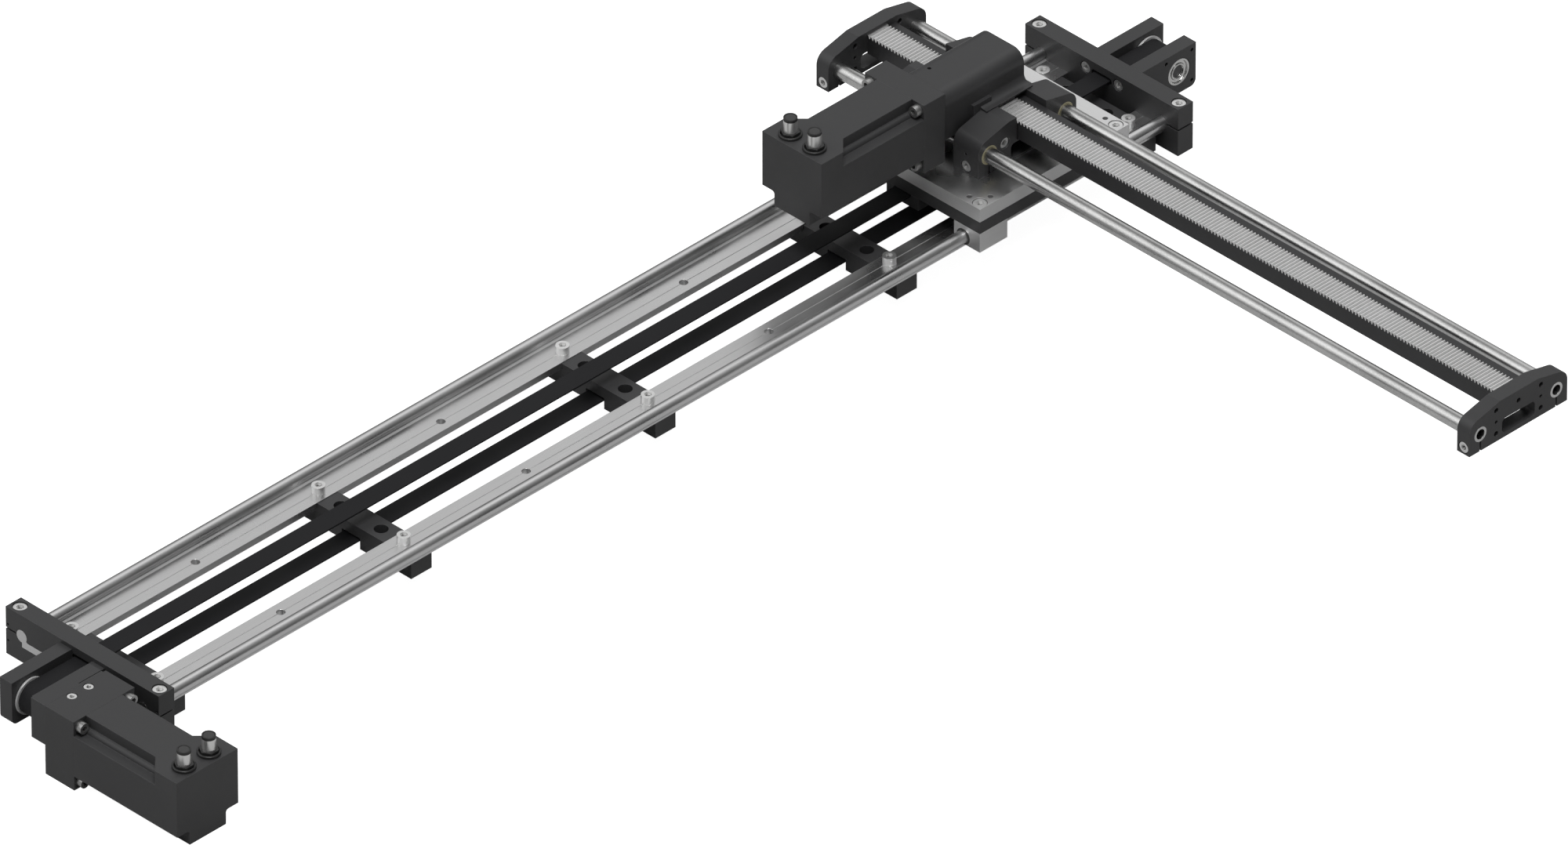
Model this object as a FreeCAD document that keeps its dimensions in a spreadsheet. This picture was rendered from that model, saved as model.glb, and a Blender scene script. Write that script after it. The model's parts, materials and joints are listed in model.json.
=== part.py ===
import FreeCAD, Part
import math
import os
import Sketcher
from FreeCAD import Placement, Rotation, Vector

# Gantry robot with two driven axes. Millimetres.
# X runs along the base rails, Y along the cantilever arm, Z up.
# The origin is at mid length of the rails, midway between them, on the mounting plane.

SIZES = {
    "rail_length": (1022, "length of the base rails"),
    "rail_spacing": (121, "distance between the rail shaft centres"),
    "rail_shaft_d": (10, "round shaft on top of each rail"),
    "rail_axis_z": (22, "height of the rail shaft centres"),
    "flange_reach": (27, "rail flange width, from shaft centre inwards"),
    "flange_thick": (5.5, "rail flange thickness"),
    "flange_drop": (3.5, "top of the flange below the shaft centre"),
    "neck_offset": (0.3, "outer side of the rail neck, inwards of the shaft centre"),
    "rail_hole_inset": (18, "rail hole line, inwards of the shaft centre"),
    "support_inset": (31, "outer cross supports from the rail ends"),
    "support_length": (20, "cross support size along the rails"),
    "support_top": (18, "top of the cross supports between the rails"),
    "support_channel_y": (18, "width of the belt channel under each support"),
    "support_channel_z": (9, "height of the belt channel under each support"),
    "support_hole_y": (40, "distance between the two mounting holes of a support"),
    "mount_hole_d": (6.6, "clearance hole for M6"),
    "mount_bore_d": (10.6, "counterbore of the mounting holes"),
    "bracket_thick": (15, "end bracket size along the rails"),
    "bracket_width": (152.5, "end bracket size across the rails"),
    "bracket_height": (40, "end bracket height"),
    "clamp_screw_y": (139, "distance between the bracket clamp screws"),
    "clamp_slit": (1.5, "width of the clamp slits"),
    "pulley_reach": (41, "pulley axes past the rail ends"),
    "belt_axis_z": (18.6, "height of the pulley axes"),
    "belt_width": (16, "belt width"),
    "belt_thick": (1.3, "belt thickness"),
    "belt_inner_r": (11.4, "belt inner radius on the pulleys"),
    "fork_reach": (58, "fork length from the bracket"),
    "fork_half_height": (18, "fork height above and below the pulley axis"),
    "fork_gap": (20.4, "opening between the fork cheeks"),
    "cheek_thick": (12, "thickness of each fork cheek"),
    "fork_web": (5, "fork web at the bracket"),
    "fork_round": (5, "round of the lower fork ends"),
    "fork_screw_z": (12.96, "fork screws above and below the pulley axis"),
    "bearing_inset": (2, "bearings sunk in the fork cheeks"),
    "shoulder": (1.5, "shoulder that holds a bearing in its cheek"),
    "race_wide": (1.7, "wall of the inner bearing ring"),
    "ring_gap": (0.2, "gap between the bearing rings"),
    "shield_width": (1.8, "outer bearing ring left beside its shield"),
    "shield_depth": (0.4, "depth of the bearing shield"),
    "cover_tap": (13, "cover taps round a bearing, across and along"),
    "m3_d": (3, "M3 screw shank"),
    "m3_head_d": (5.5, "M3 head diameter"),
    "m3_head": (3, "M3 head height"),
    "pin_hole_d": (2, "small blind holes in brackets and guides"),
    "bracket_pin_inset": (2.15, "small holes from the bracket ends"),
    "bracket_pin_low": (12, "height of the lower small holes"),
    "bracket_pin_high": (25.6, "height of the upper small holes"),
    "belt_way": (3, "belt openings of the brackets above and below the belt"),
    "belt_way_round": (2.5, "round corners of the belt openings"),
    "bearing_od": (22, "pulley bearing outer diameter"),
    "bearing_id": (10, "pulley bearing bore and pulley shaft diameter"),
    "bearing_wide": (6, "pulley bearing width"),
    "motor_wide": (58.9, "motor section across"),
    "motor_high": (58.1, "motor section height"),
    "motor_body": (102.3, "motor body length"),
    "motor_rebate": (12, "corner rebates along the motor"),
    "motor_rib_r": (3.6, "rounded rib in the upper rebates"),
    "motor_hollow": (2.5, "hollow round in the lower rebates"),
    "motor_head": (21.5, "motor length with no upper rebate"),
    "base_flange": (28.6, "flange block of the base motor"),
    "carriage_flange": (21, "flange block of the carriage motor"),
    "adapter_long": (13.5, "adapter between fork and base motor"),
    "adapter_low": (4.4, "bottom of the adapter block below the pulley axis"),
    "adapter_short": (2.5, "adapter shorter than the motor towards the rails"),
    "adapter_boss_r": (22, "round part of the adapter"),
    "adapter_seam": (0.6, "width of the groove in the adapter top"),
    "adapter_seam_y": (1.9, "groove from the motor side of the adapter"),
    "adapter_seam_x": (5.6, "start of the groove from the pulley axis"),
    "adapter_screw_x": (16, "distance between the vertical adapter screws"),
    "connector_d": (10.2, "motor connector diameter"),
    "connector_high": (15.4, "motor connector height"),
    "connector_pitch": (24, "distance between the connectors"),
    "connector_inset": (10.6, "connectors from the motor end face"),
    "carriage_x": (370.5, "carriage centre at rest"),
    "plate_long": (149.5, "carriage plate size along the rails"),
    "plate_overhang": (16.5, "carriage plates past each rail shaft centre"),
    "plate_bottom": (32, "underside of the lower carriage plate"),
    "lower_plate": (10, "lower carriage plate thickness"),
    "upper_plate": (11, "upper carriage plate thickness"),
    "plate_screw_inset": (6.5, "corner screws from the plate edges"),
    "dowel_pitch": (10.5, "dowel holes from the corner screws"),
    "dowel_r": (2, "dowel hole radius"),
    "dowel_deep": (8, "dowel hole depth"),
    "block_long": (27.6, "bearing block size along the rails"),
    "block_wide": (25.6, "bearing block size across the rails"),
    "block_high": (16, "bearing block height"),
    "liner_wall": (1.5, "wall of the rail liners"),
    "belt_clamp_long": (30, "belt clamp size along the belt"),
    "belt_clamp_wide": (31.5, "belt clamp size across the belt"),
    "belt_clamp_high": (8, "belt clamp thickness"),
    "clamp_screw_edge": (3.8, "belt clamp screws from the clamp's long edges"),
    "arm_spacing": (76.2, "distance between the arm shafts"),
    "arm_shaft_d": (12, "arm shaft diameter"),
    "arm_bore_d": (8, "bore of the hollow arm shafts"),
    "arm_axis_z": (68.8, "height of the arm shafts"),
    "arm_back_y": (111.5, "outer face of the back end plate at rest"),
    "arm_length": (644, "arm length over both end plates"),
    "end_plate": (12, "end plate thickness"),
    "plate_side": (11, "end plate width outside each shaft centre"),
    "end_plate_below": (14.2, "end plate below the shaft centres"),
    "arch_high": (18.8, "flat top of the end plates above the shaft centres"),
    "arch_side": (1.8, "top of the straight sides above the shaft centres"),
    "arch_flat": (38, "width of the flat top of the end plates"),
    "arch_round": (10, "radius of the end plate shoulders"),
    "slot_wide": (33, "slot in the end plates"),
    "slot_high": (12.5, "slot in the end plates"),
    "slot_low": (3.5, "slot above the bottom of the end plates"),
    "slot_round": (3.5, "round corners of the slots"),
    "guide_slot_low": (1.5, "slot above the bottom of the guides"),
    "side_clamp_low": (5.3, "clamp screws above the bottom of end plates and guides"),
    "tool_hole_r": (2.1, "radius of the tapped tool holes"),
    "tool_pin_r": (1.4, "radius of the dowel holes for the tool"),
    "rack_pin_sunk": (5, "rack screws sunk in the end plates"),
    "rack_pin_grip": (11, "rack screws in the rack bar"),
    "rack_screw_drop": (3.6, "rack screws below the tooth roots"),
    "tool_hole_x": (44.8, "tool hole distance along X"),
    "tool_hole_z": (19.7, "tool hole distance along Z"),
    "tool_hole_low": (6.8, "lower tool holes above the bottom of the end plates"),
    "guide_outer": (50, "outer faces of the arm guides from the arm centre line"),
    "guide_long": (25, "arm guide length"),
    "bush_wall": (1.5, "wall of the arm bushes"),
    "guide_screw_x": (48, "distance between the screws from below"),
    "face_screw_rise": (2.3, "face screws of the guides above the shafts"),
    "rack_wide": (20, "width of the rack teeth"),
    "rack_ledge": (8, "ledge of the rack bar beside the teeth"),
    "rack_bottom": (69, "underside of the rack bar"),
    "tooth_module": (1, "module of rack and pinion"),
    "tooth_backlash": (0.12, "play between rack and pinion teeth"),
    "pinion_teeth": (20, "teeth of the pinion"),
    "pinion_wide": (18, "width of the pinion"),
    "pinion_axis_z": (93.7, "height of the pinion axis"),
    "pinion_shaft_d": (8, "pinion shaft diameter"),
    "housing_half": (22.3, "half width of the gear housing"),
    "housing_rise": (19.7, "flat top of the gear housing above the pinion axis"),
    "housing_round": (10.3, "round shoulders of the gear housing"),
    "housing_end": (24.5, "end of the gear housing past the carriage centre"),
    "housing_pin_x": (24.3, "blind hole on the gear housing from the motor flange"),
    "housing_pin_y": (10.4, "blind hole on the gear housing from its middle"),
    "housing_start": (12.8, "motor flange from the side of the guides"),
    "foot_half": (31, "half length of the gear housing foot along the arm"),
    "foot_long": (46, "gear housing foot along the rails"),
    "foot_high": (1.2, "edge thickness of the gear housing foot"),
    "foot_flare": (6, "hollow round between housing and foot"),
    "wall_left": (18.5, "left wall of the housing from the rack"),
    "wall_right": (11, "right wall of the housing from the rack bar"),
    "rack_room": (0.8, "room on both sides of the rack bar"),
    "pinion_bush_wall": (3.5, "wall of the pinion bush"),
    "end_wall": (3, "closed end of the gear housing"),
    "m6_d": (6, "M6 screw shank"),
    "m6_head_d": (10, "M6 head diameter"),
    "m6_head": (6, "M6 head height"),
    "m5_d": (5, "M5 screw shank"),
    "m5_head_d": (8.5, "M5 head diameter"),
    "m5_head": (5, "M5 head height"),
    "m4_d": (4, "M4 screw shank"),
    "m4_head_d": (7, "M4 head diameter"),
    "m4_head": (4, "M4 head height"),
    "head_gap": (0.5, "room round a sunk screw head"),
    "fit": (0.03, "radial clearance of bushes and seats"),
    "play": (0.3, "gap between parts that pass each other"),
}

doc = FreeCAD.newDocument("GantryRobot")
sheet = doc.addObject("Spreadsheet::Sheet", "Sizes")
for row, (alias, (number, meaning)) in enumerate(SIZES.items(), start=1):
    sheet.set(f"A{row}", alias)
    sheet.set(f"B{row}", str(number))
    sheet.set(f"C{row}", meaning)
    sheet.setAlias(f"B{row}", alias)
doc.recompute()


class Size:
    """A length with both its number and the formula that gives it from the sheet."""

    def __init__(self, number, formula):
        self.number = number
        self.formula = formula

    def combine(self, sign, other, number):
        text = other.formula if isinstance(other, Size) else repr(float(other))
        return Size(number, f"({self.formula} {sign} {text})")

    def __add__(self, other):
        return self.combine("+", other, self.number + float(other))

    def __sub__(self, other):
        return self.combine("-", other, self.number - float(other))

    def __mul__(self, other):
        return self.combine("*", other, self.number * float(other))

    def __truediv__(self, other):
        return self.combine("/", other, self.number / float(other))

    def __neg__(self):
        return self * -1

    def __radd__(self, other):
        return self + other

    def __rsub__(self, other):
        return -self + other

    def __rmul__(self, other):
        return self * other

    def __float__(self):
        return float(self.number)


class Sheet:
    """The driving sizes by name."""


s = Sheet()
for alias in SIZES:
    setattr(s, alias, Size(float(sheet.get(alias)), f"Sizes.{alias}"))


# General helpers

nodes = []


def bind(thing, prop, size):
    if isinstance(size, Size):
        thing.setExpression(prop, size.formula)
    else:
        thing.setExpression(prop, repr(float(size)))


def seat(thing, point, turn=Rotation()):
    thing.Placement = Placement(Vector(*(float(value) for value in point)), turn)
    for letter, value in zip("xyz", point):
        bind(thing, f".Placement.Base.{letter}", value)
    return thing


def camel(label):
    return label.title().replace("_", "")


def keep(thing, label):
    thing.Label = label
    nodes.append(thing)
    return thing


def new(kind, name):
    return doc.addObject(kind, name)


def block(name, x, y, z):
    """A box between two values on each axis."""
    box = new("Part::Box", name)
    for prop, (low, high) in zip(("Length", "Width", "Height"), (x, y, z)):
        bind(box, prop, high - low)
    return seat(box, (x[0], y[0], z[0]))


TURNS = {
    "x": Rotation(Vector(0, 1, 0), 90),
    "y": Rotation(Vector(1, 0, 0), -90),
    "z": Rotation(),
    "-x": Rotation(Vector(0, 1, 0), -90),
    "-y": Rotation(Vector(1, 0, 0), 90),
    "-z": Rotation(Vector(1, 0, 0), 180),
}


def rod(name, axis, centre, radius, span):
    """A cylinder along an axis; centre gives the two other coordinates, span its two ends."""
    low, high = span
    cylinder = new("Part::Cylinder", name)
    bind(cylinder, "Radius", radius)
    bind(cylinder, "Height", high - low)
    point = list(centre)
    point.insert("xyz".index(axis), low)
    return seat(cylinder, point, TURNS[axis])


def fuse(name, *parts):
    joined = new("Part::MultiFuse", name)
    joined.Shapes = list(parts)
    joined.Refine = True
    return joined


def cut(name, base, *tools):
    trimmed = new("Part::Cut", name)
    trimmed.Base = base
    trimmed.Tool = tools[0] if len(tools) == 1 else fuse(name + "Tools", *tools)
    return trimmed


def group(name, *parts):
    """Separate solids that share one node."""
    together = new("Part::Compound", name)
    together.Links = list(parts)
    return together


def plane_of(body, role):
    return next(item for item in body.Origin.OriginFeatures if item.Role == role)


def draw_outline(sketch, corners):
    """Straight lines between corners; a corner with a third value is rounded by that radius."""
    flat = [(float(c[0]), float(c[1])) for c in corners]
    count = len(corners)
    starts = []
    ends = []
    for i, corner in enumerate(corners):
        here = Vector(*flat[i], 0)
        before = Vector(*flat[i - 1], 0) - here
        after = Vector(*flat[(i + 1) % count], 0) - here
        reach = 0
        if len(corner) > 2:
            reach = float(corner[2]) / math.tan(before.getAngle(after) / 2)
        ends.append(here + before.normalize() * reach)
        starts.append(here + after.normalize() * reach)
    lines = []
    for i in range(count):
        lines.append(sketch.addGeometry(Part.LineSegment(starts[i], ends[(i + 1) % count]), False))
    for i, corner in enumerate(corners):
        line_in, line_out = lines[i - 1], lines[i]
        if len(corner) == 2:
            sketch.addConstraint(Sketcher.Constraint("Coincident", line_in, 2, line_out, 1))
            fix_point(sketch, line_out, 1, corner)
            continue
        add_round(sketch, line_in, line_out, corner, (ends[i], starts[i], Vector(*flat[i], 0)))


def add_round(sketch, line_in, line_out, corner, points):
    """An arc tangent to two lines whose extensions meet at the corner."""
    first, last, tip = points
    half = (first - tip).getAngle(last - tip) / 2
    toward = ((first - tip).normalize() + (last - tip).normalize()).normalize()
    radius = float(corner[2])
    centre = tip + toward * (radius / math.sin(half))
    middle = centre - toward * radius
    arc = sketch.addGeometry(Part.Arc(first, middle, last), False)
    turned = (first - centre).cross(middle - centre).z < 0
    at_first, at_last = (2, 1) if turned else (1, 2)
    sketch.addConstraint(Sketcher.Constraint("Tangent", line_in, 2, arc, at_first))
    sketch.addConstraint(Sketcher.Constraint("Tangent", line_out, 1, arc, at_last))
    size = sketch.addConstraint(Sketcher.Constraint("Radius", arc, radius))
    bind(sketch, f"Constraints[{size}]", corner[2])
    mark = sketch.addGeometry(Part.Point(tip), True)
    sketch.addConstraint(Sketcher.Constraint("PointOnObject", mark, 1, line_in))
    sketch.addConstraint(Sketcher.Constraint("PointOnObject", mark, 1, line_out))
    fix_point(sketch, mark, 1, corner)


def fix_point(sketch, item, end, corner):
    for kind, value in zip(("DistanceX", "DistanceY"), corner):
        rule = Sketcher.Constraint(kind, -1, 1, item, end, float(value))
        bind(sketch, f"Constraints[{sketch.addConstraint(rule)}]", value)


PLANES = {"x": ("YZ_Plane", False), "y": ("XZ_Plane", True), "z": ("XY_Plane", False)}


def profile(name, axis, corners, span, holes=()):
    """An outline padded along an axis between the two values of span.

    holes are circles in the outline, each with its two centre values and its radius.
    """
    low, high = span
    role, reverse = PLANES[axis]
    body = new("PartDesign::Body", name)
    sketch = body.newObject("Sketcher::SketchObject", name + "Sketch")
    sketch.AttachmentSupport = [(plane_of(body, role), "")]
    sketch.MapMode = "FlatFace"
    draw_outline(sketch, corners)
    for hole in holes:
        centre = Vector(float(hole[0]), float(hole[1]), 0)
        circle = sketch.addGeometry(Part.Circle(centre, Vector(0, 0, 1), float(hole[2])), False)
        fix_point(sketch, circle, 3, hole)
        size = sketch.addConstraint(Sketcher.Constraint("Radius", circle, float(hole[2])))
        bind(sketch, f"Constraints[{size}]", hole[2])
    pad = body.newObject("PartDesign::Pad", name + "Pad")
    pad.Profile = sketch
    pad.Reversed = reverse
    bind(pad, "Length", high - low)
    sketch.Visibility = False
    base = [0, 0, 0]
    base["xyz".index(axis)] = low
    return seat(body, base)


def turned(name, corners, centre, axis):
    """A half outline of distance along an axis and radius, revolved about that axis."""
    body = new("PartDesign::Body", name)
    sketch = body.newObject("Sketcher::SketchObject", name + "Sketch")
    sketch.AttachmentSupport = [(plane_of(body, "XZ_Plane"), "")]
    sketch.MapMode = "FlatFace"
    draw_outline(sketch, [(radius, along) for along, radius in corners])
    revolved = body.newObject("PartDesign::Revolution", name + "Revolution")
    revolved.Profile = sketch
    revolved.ReferenceAxis = (sketch, ["V_Axis"])
    revolved.Angle = 360
    sketch.Visibility = False
    return seat(body, centre, TURNS[axis])


def screw(name, size, length, sunk_socket=True):
    """A cap screw pointing down from its head's seat at the origin."""
    shank_d, head_d, head = (getattr(s, size + tail) for tail in ("_d", "_head_d", "_head"))
    top = rod(name + "Head", "z", (0, 0), head_d / 2, (0, head))
    shank = rod(name + "Shank", "z", (0, 0), shank_d / 2, (-length, 0))
    whole = fuse(name + "Solid", top, shank)
    if not sunk_socket:
        return whole
    socket = new("Part::Prism", name + "Socket")
    socket.Polygon = 6
    bind(socket, "Circumradius", shank_d * 0.48)
    bind(socket, "Height", head)
    seat(socket, (0, 0, head / 2))
    return cut(name, whole, socket)


def copies(name, original, places):
    """Copies of one piece; each place has its point and the direction of its own Z axis."""
    links = []
    for number, (point, direction) in enumerate(places, start=1):
        link = new("App::Link", f"{name}Copy{number}")
        link.LinkedObject = original
        seat_link(link, point, TURNS[direction])
        links.append(link)
    return group(name, *links)


def seat_link(link, point, turn):
    link.Placement = Placement(Vector(*(float(value) for value in point)), turn)
    for letter, value in zip("xyz", point):
        bind(link, f".Placement.Base.{letter}", value)


# Values that several pieces share

rail_y = s.rail_spacing / 2
rail_z = s.rail_axis_z
shaft_r = s.rail_shaft_d / 2
flange_top = rail_z - s.flange_drop
flange_bottom = flange_top - s.flange_thick
rail_end = s.rail_length / 2
pulley_x = rail_end + s.pulley_reach
support_pitch = (rail_end - s.support_inset) / 2
plate_wide = s.rail_spacing + s.plate_overhang * 2
hole_y = rail_y - s.rail_hole_inset
support_places = [support_pitch * step for step in (-2, -1, 0, 1, 2)]
bracket_inner = rail_end - s.bracket_thick
belt_top = s.belt_axis_z + s.belt_inner_r
belt_bottom = s.belt_axis_z - s.belt_inner_r
fork_side = s.fork_gap / 2 + s.cheek_thick
fork_screw_y = (s.fork_gap + s.cheek_thick) / 2
fork_screw_grip = s.fork_gap * 0.5 + 1.8
pulley_shaft_r = s.bearing_id / 2
plate_top = s.plate_bottom + s.lower_plate + s.upper_plate
lower_plate_top = s.plate_bottom + s.lower_plate
arm_x = s.carriage_x
arm_plate_half = s.arm_spacing / 2 + s.plate_side
arm_plate_bottom = s.arm_axis_z - s.end_plate_below
arm_plate_top = s.arm_axis_z + s.arch_high
arm_back_y = s.arm_back_y
arm_front_y = arm_back_y - s.arm_length
arm_shaft_r = s.arm_shaft_d / 2
rack_left = arm_x - s.rack_wide / 2
rack_right = arm_x + s.rack_wide / 2
bar_right = rack_right + s.rack_ledge
pitch_r = s.tooth_module * s.pinion_teeth / 2
pitch_z = s.pinion_axis_z - pitch_r
tooth_root = pitch_z - s.tooth_module * 1.25
rack_screw_z = tooth_root - s.rack_screw_drop
tooth_tip = pitch_z + s.tooth_module
guide_inner = s.guide_outer - s.guide_long
face_screw_z = s.arm_axis_z + s.face_screw_rise
housing_low = s.arm_axis_z + arm_shaft_r + 1
housing_start = arm_x - arm_plate_half - s.housing_start
housing_far = arm_x + s.housing_end
pinion_shaft_r = s.pinion_shaft_d / 2
race_r = pulley_shaft_r + s.race_wide
bearing_out = fork_side - s.bearing_inset
m3_r = s.m3_d / 2 + s.fit
m4_r = s.m4_d / 2 + s.fit
m5_r = s.m5_d / 2 + s.fit
m6_r = s.m6_d / 2 + s.fit
bracket_seat_z = s.bracket_height - s.m6_head - 1
bracket_screw = s.bracket_height - s.m6_head - 6
m5_seat = s.m5_head + 0.5
pin_r = s.pin_hole_d / 2


# Base: rails

def rail_section(name, side, span, gap, groove):
    """Shaft, neck and flange of a rail; gap widens it all round to make its seat."""
    shaft = rod(name + "Shaft", "x", (side * rail_y, rail_z), shaft_r + gap, span)
    low = flange_bottom - gap
    top = flange_top + gap
    inner = side * (rail_y - s.flange_reach - gap)
    outer = side * (rail_y - s.neck_offset + gap)
    neck_top = rail_z - shaft_r * 0.5 + gap
    neck_side = side * (rail_y - shaft_r * 0.86 - gap)
    neck_foot = side * (rail_y - shaft_r * 1.2 - gap)
    corners = [(outer, low), (inner, low), (inner, top)]
    if groove:
        line = side * hole_y
        corners += [(line - side * 0.3, top), (line, top - 0.3), (line + side * 0.3, top)]
    corners += [(neck_foot, top), (neck_side, neck_top), (outer, neck_top)]
    flange = profile(name + "Flange", "x", corners, span)
    return fuse(name, shaft, flange)


def make_rail(label, side):
    name = camel(label)
    section = rail_section(name, side, (-rail_end, rail_end), 0, True)
    holes = []
    for step in range(-4, 5):
        place = (support_pitch * step / 2, side * hole_y)
        holes.append(rod(f"{name}Hole{step + 4}", "z", place, s.mount_hole_d / 2,
                         (flange_bottom - 1, flange_top + 1)))
    keep(cut(name + "Drilled", section, *holes), label)


# Base: cross supports

def make_support(number, x):
    half = s.support_length / 2
    channel = s.support_channel_y / 2
    edge = rail_y - 0.5
    step = rail_y - s.flange_reach - 0.2
    corners = [
        (-edge, 0), (-channel, 0), (-channel, s.support_channel_z), (channel, s.support_channel_z),
        (channel, 0), (edge, 0), (edge, flange_bottom), (step, flange_bottom), (step, s.support_top),
        (-step, s.support_top), (-step, flange_bottom), (-edge, flange_bottom),
    ]
    name = f"Support{number}"
    bar = profile(name, "x", corners, (x - half, x + half))
    tools = []
    for side in (-1, 1):
        mount_y = side * s.support_hole_y / 2
        tools.append(rod(f"{name}Hole{side + 1}", "z", (x, mount_y), s.mount_hole_d / 2,
                         (-1, s.support_top)))
        tools.append(rod(f"{name}Bore{side + 1}", "z", (x, mount_y), s.mount_bore_d / 2,
                         (s.support_top / 2, s.support_top + 1)))
        tools.append(rod(f"{name}Thread{side + 1}", "z", (x, side * hole_y), m6_r,
                         (flange_bottom - 11, flange_bottom + 1)))
    keep(cut(name + "Drilled", bar, *tools), f"cross_support_{number}")


def make_rail_screws():
    original = screw("RailScrew", "m6", s.flange_thick + 10)
    places = [((x, side * hole_y, flange_top), "z") for x in support_places for side in (-1, 1)]
    keep(copies("RailScrews", original, places), "rail_screws")


# Base: end brackets and forks

def make_bracket(label, end):
    name = camel(label)
    faces = sorted((end * bracket_inner, end * rail_end), key=float)
    through = (faces[0] - 1, faces[1] + 1)
    half = s.bracket_width / 2
    bar = block(name, faces, (-half, half), (0, s.bracket_height))
    tools = []
    for side in (-1, 1):
        tools.append(rail_section(f"{name}Seat{side + 1}", side, through, s.fit, False))
        edges = sorted((side * rail_y, side * (half + 1)), key=float)
        tools.append(block(f"{name}Slit{side + 1}", through, edges,
                           (rail_z - s.clamp_slit / 2, rail_z + s.clamp_slit / 2)))
        centre = (end * (rail_end - s.bracket_thick / 2), side * s.clamp_screw_y / 2)
        tools.append(rod(f"{name}Head{side + 1}", "z", centre, s.m6_head_d / 2 + s.head_gap,
                         (bracket_seat_z, s.bracket_height + 1)))
        tools.append(rod(f"{name}Shank{side + 1}", "z", centre, m6_r,
                         (bracket_seat_z - bracket_screw, bracket_seat_z + 1)))
        for number, level in enumerate((s.bracket_pin_low, s.bracket_pin_high)):
            depth = sorted((end * (rail_end - 4), end * (rail_end + 1)), key=float)
            pin = (side * (half - s.bracket_pin_inset), level)
            tools.append(rod(f"{name}Pin{side + 1}{number}", "x", pin, pin_r, depth))
        strand_z = s.belt_axis_z + side * (s.belt_inner_r + s.belt_thick / 2)
        reach = s.belt_width / 2 + 2
        low = strand_z - s.belt_way
        high = strand_z + s.belt_way
        corners = [(across, level, s.belt_way_round) for across, level in
                   ((-reach, low), (reach, low), (reach, high), (-reach, high))]
        tools.append(profile(f"{name}Belt{side + 1}", "x", corners, through))
        inner_seat = sorted((end * (bracket_inner - 1), end * (bracket_inner + m5_seat)), key=float)
        for level in (-1, 1):
            place = (side * fork_screw_y, s.belt_axis_z + level * s.fork_screw_z)
            mark = f"{name}Fork{side + 1}{level + 1}"
            tools.append(rod(mark + "Head", "x", place, s.m5_head_d / 2 + s.head_gap, inner_seat))
            tools.append(rod(mark + "Shank", "x", place, m5_r, through))
    keep(cut(name + "Cut", bar, *tools), label)


def make_bracket_screws():
    original = screw("BracketScrew", "m6", bracket_screw)
    middle = rail_end - s.bracket_thick / 2
    places = [((end * middle, side * s.clamp_screw_y / 2, bracket_seat_z), "z")
              for end in (-1, 1) for side in (-1, 1)]
    keep(copies("BracketScrews", original, places), "bracket_clamp_screws")


def make_fork(label, end):
    name = camel(label)
    root = end * rail_end
    web = end * (rail_end + s.fork_web)
    tip = end * (rail_end + s.fork_reach)
    low = s.belt_axis_z - s.fork_half_height
    high = s.belt_axis_z + s.fork_half_height
    corners = [(root, low), (tip, low, s.fork_round), (tip, high), (root, high)]
    solid = profile(name, "y", corners, (-fork_side, fork_side))
    gap = (-s.fork_gap / 2, s.fork_gap / 2)
    pocket_x = sorted((web, tip + end), key=float)
    web_x = sorted((root - end, web + end), key=float)
    tools = [
        block(name + "Pocket", pocket_x, gap, (low - 1, high + 1)),
        block(name + "Upper", web_x, gap, (belt_top - 2.5, high + 1)),
        block(name + "Lower", web_x, gap, (low - 1, belt_bottom + 2.5)),
        rod(name + "Bore", "y", (end * pulley_x, s.belt_axis_z), s.bearing_od / 2 - s.shoulder,
            (-fork_side - 1, fork_side + 1)),
    ]
    depth = bearing_out - s.bearing_wide
    for side in (-1, 1):
        seat_y = sorted((side * depth, side * (fork_side + 1)), key=float)
        tools.append(rod(f"{name}Seat{side + 1}", "y", (end * pulley_x, s.belt_axis_z),
                         s.bearing_od / 2 + s.fit, seat_y))
        drill_y = sorted((side * (fork_side - 6), side * (fork_side + 1)), key=float)
        for across in (-1, 1):
            for level in (-1, 1):
                place = (end * pulley_x + across * s.cover_tap, s.belt_axis_z + level * s.cover_tap)
                tools.append(rod(f"{name}Tap{side + 1}{across + 1}{level + 1}", "y", place,
                                 m3_r, drill_y))
        thread_x = sorted((root - end, root + end * (fork_screw_grip + 1)), key=float)
        for level in (-1, 1):
            place = (side * fork_screw_y, s.belt_axis_z + level * s.fork_screw_z)
            tools.append(rod(f"{name}Thread{side + 1}{level + 1}", "x", place, m5_r,
                             thread_x))
    keep(cut(name + "Cut", solid, *tools), label)


def make_fork_screws():
    original = screw("ForkScrew", "m5", s.bracket_thick - m5_seat + fork_screw_grip)
    places = []
    for end, direction in ((-1, "x"), (1, "-x")):
        for side in (-1, 1):
            for level in (-1, 1):
                seat_x = end * (bracket_inner + m5_seat)
                places.append(((seat_x, side * fork_screw_y, s.belt_axis_z + level * s.fork_screw_z),
                               direction))
    keep(copies("ForkScrews", original, places), "fork_screws")


# Belt drive

def bearing_places():
    return [(end, side) for end in (-1, 1) for side in (-1, 1)]


def bearing_span(side):
    return sorted((side * bearing_out, side * (bearing_out - s.bearing_wide)), key=float)


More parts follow.
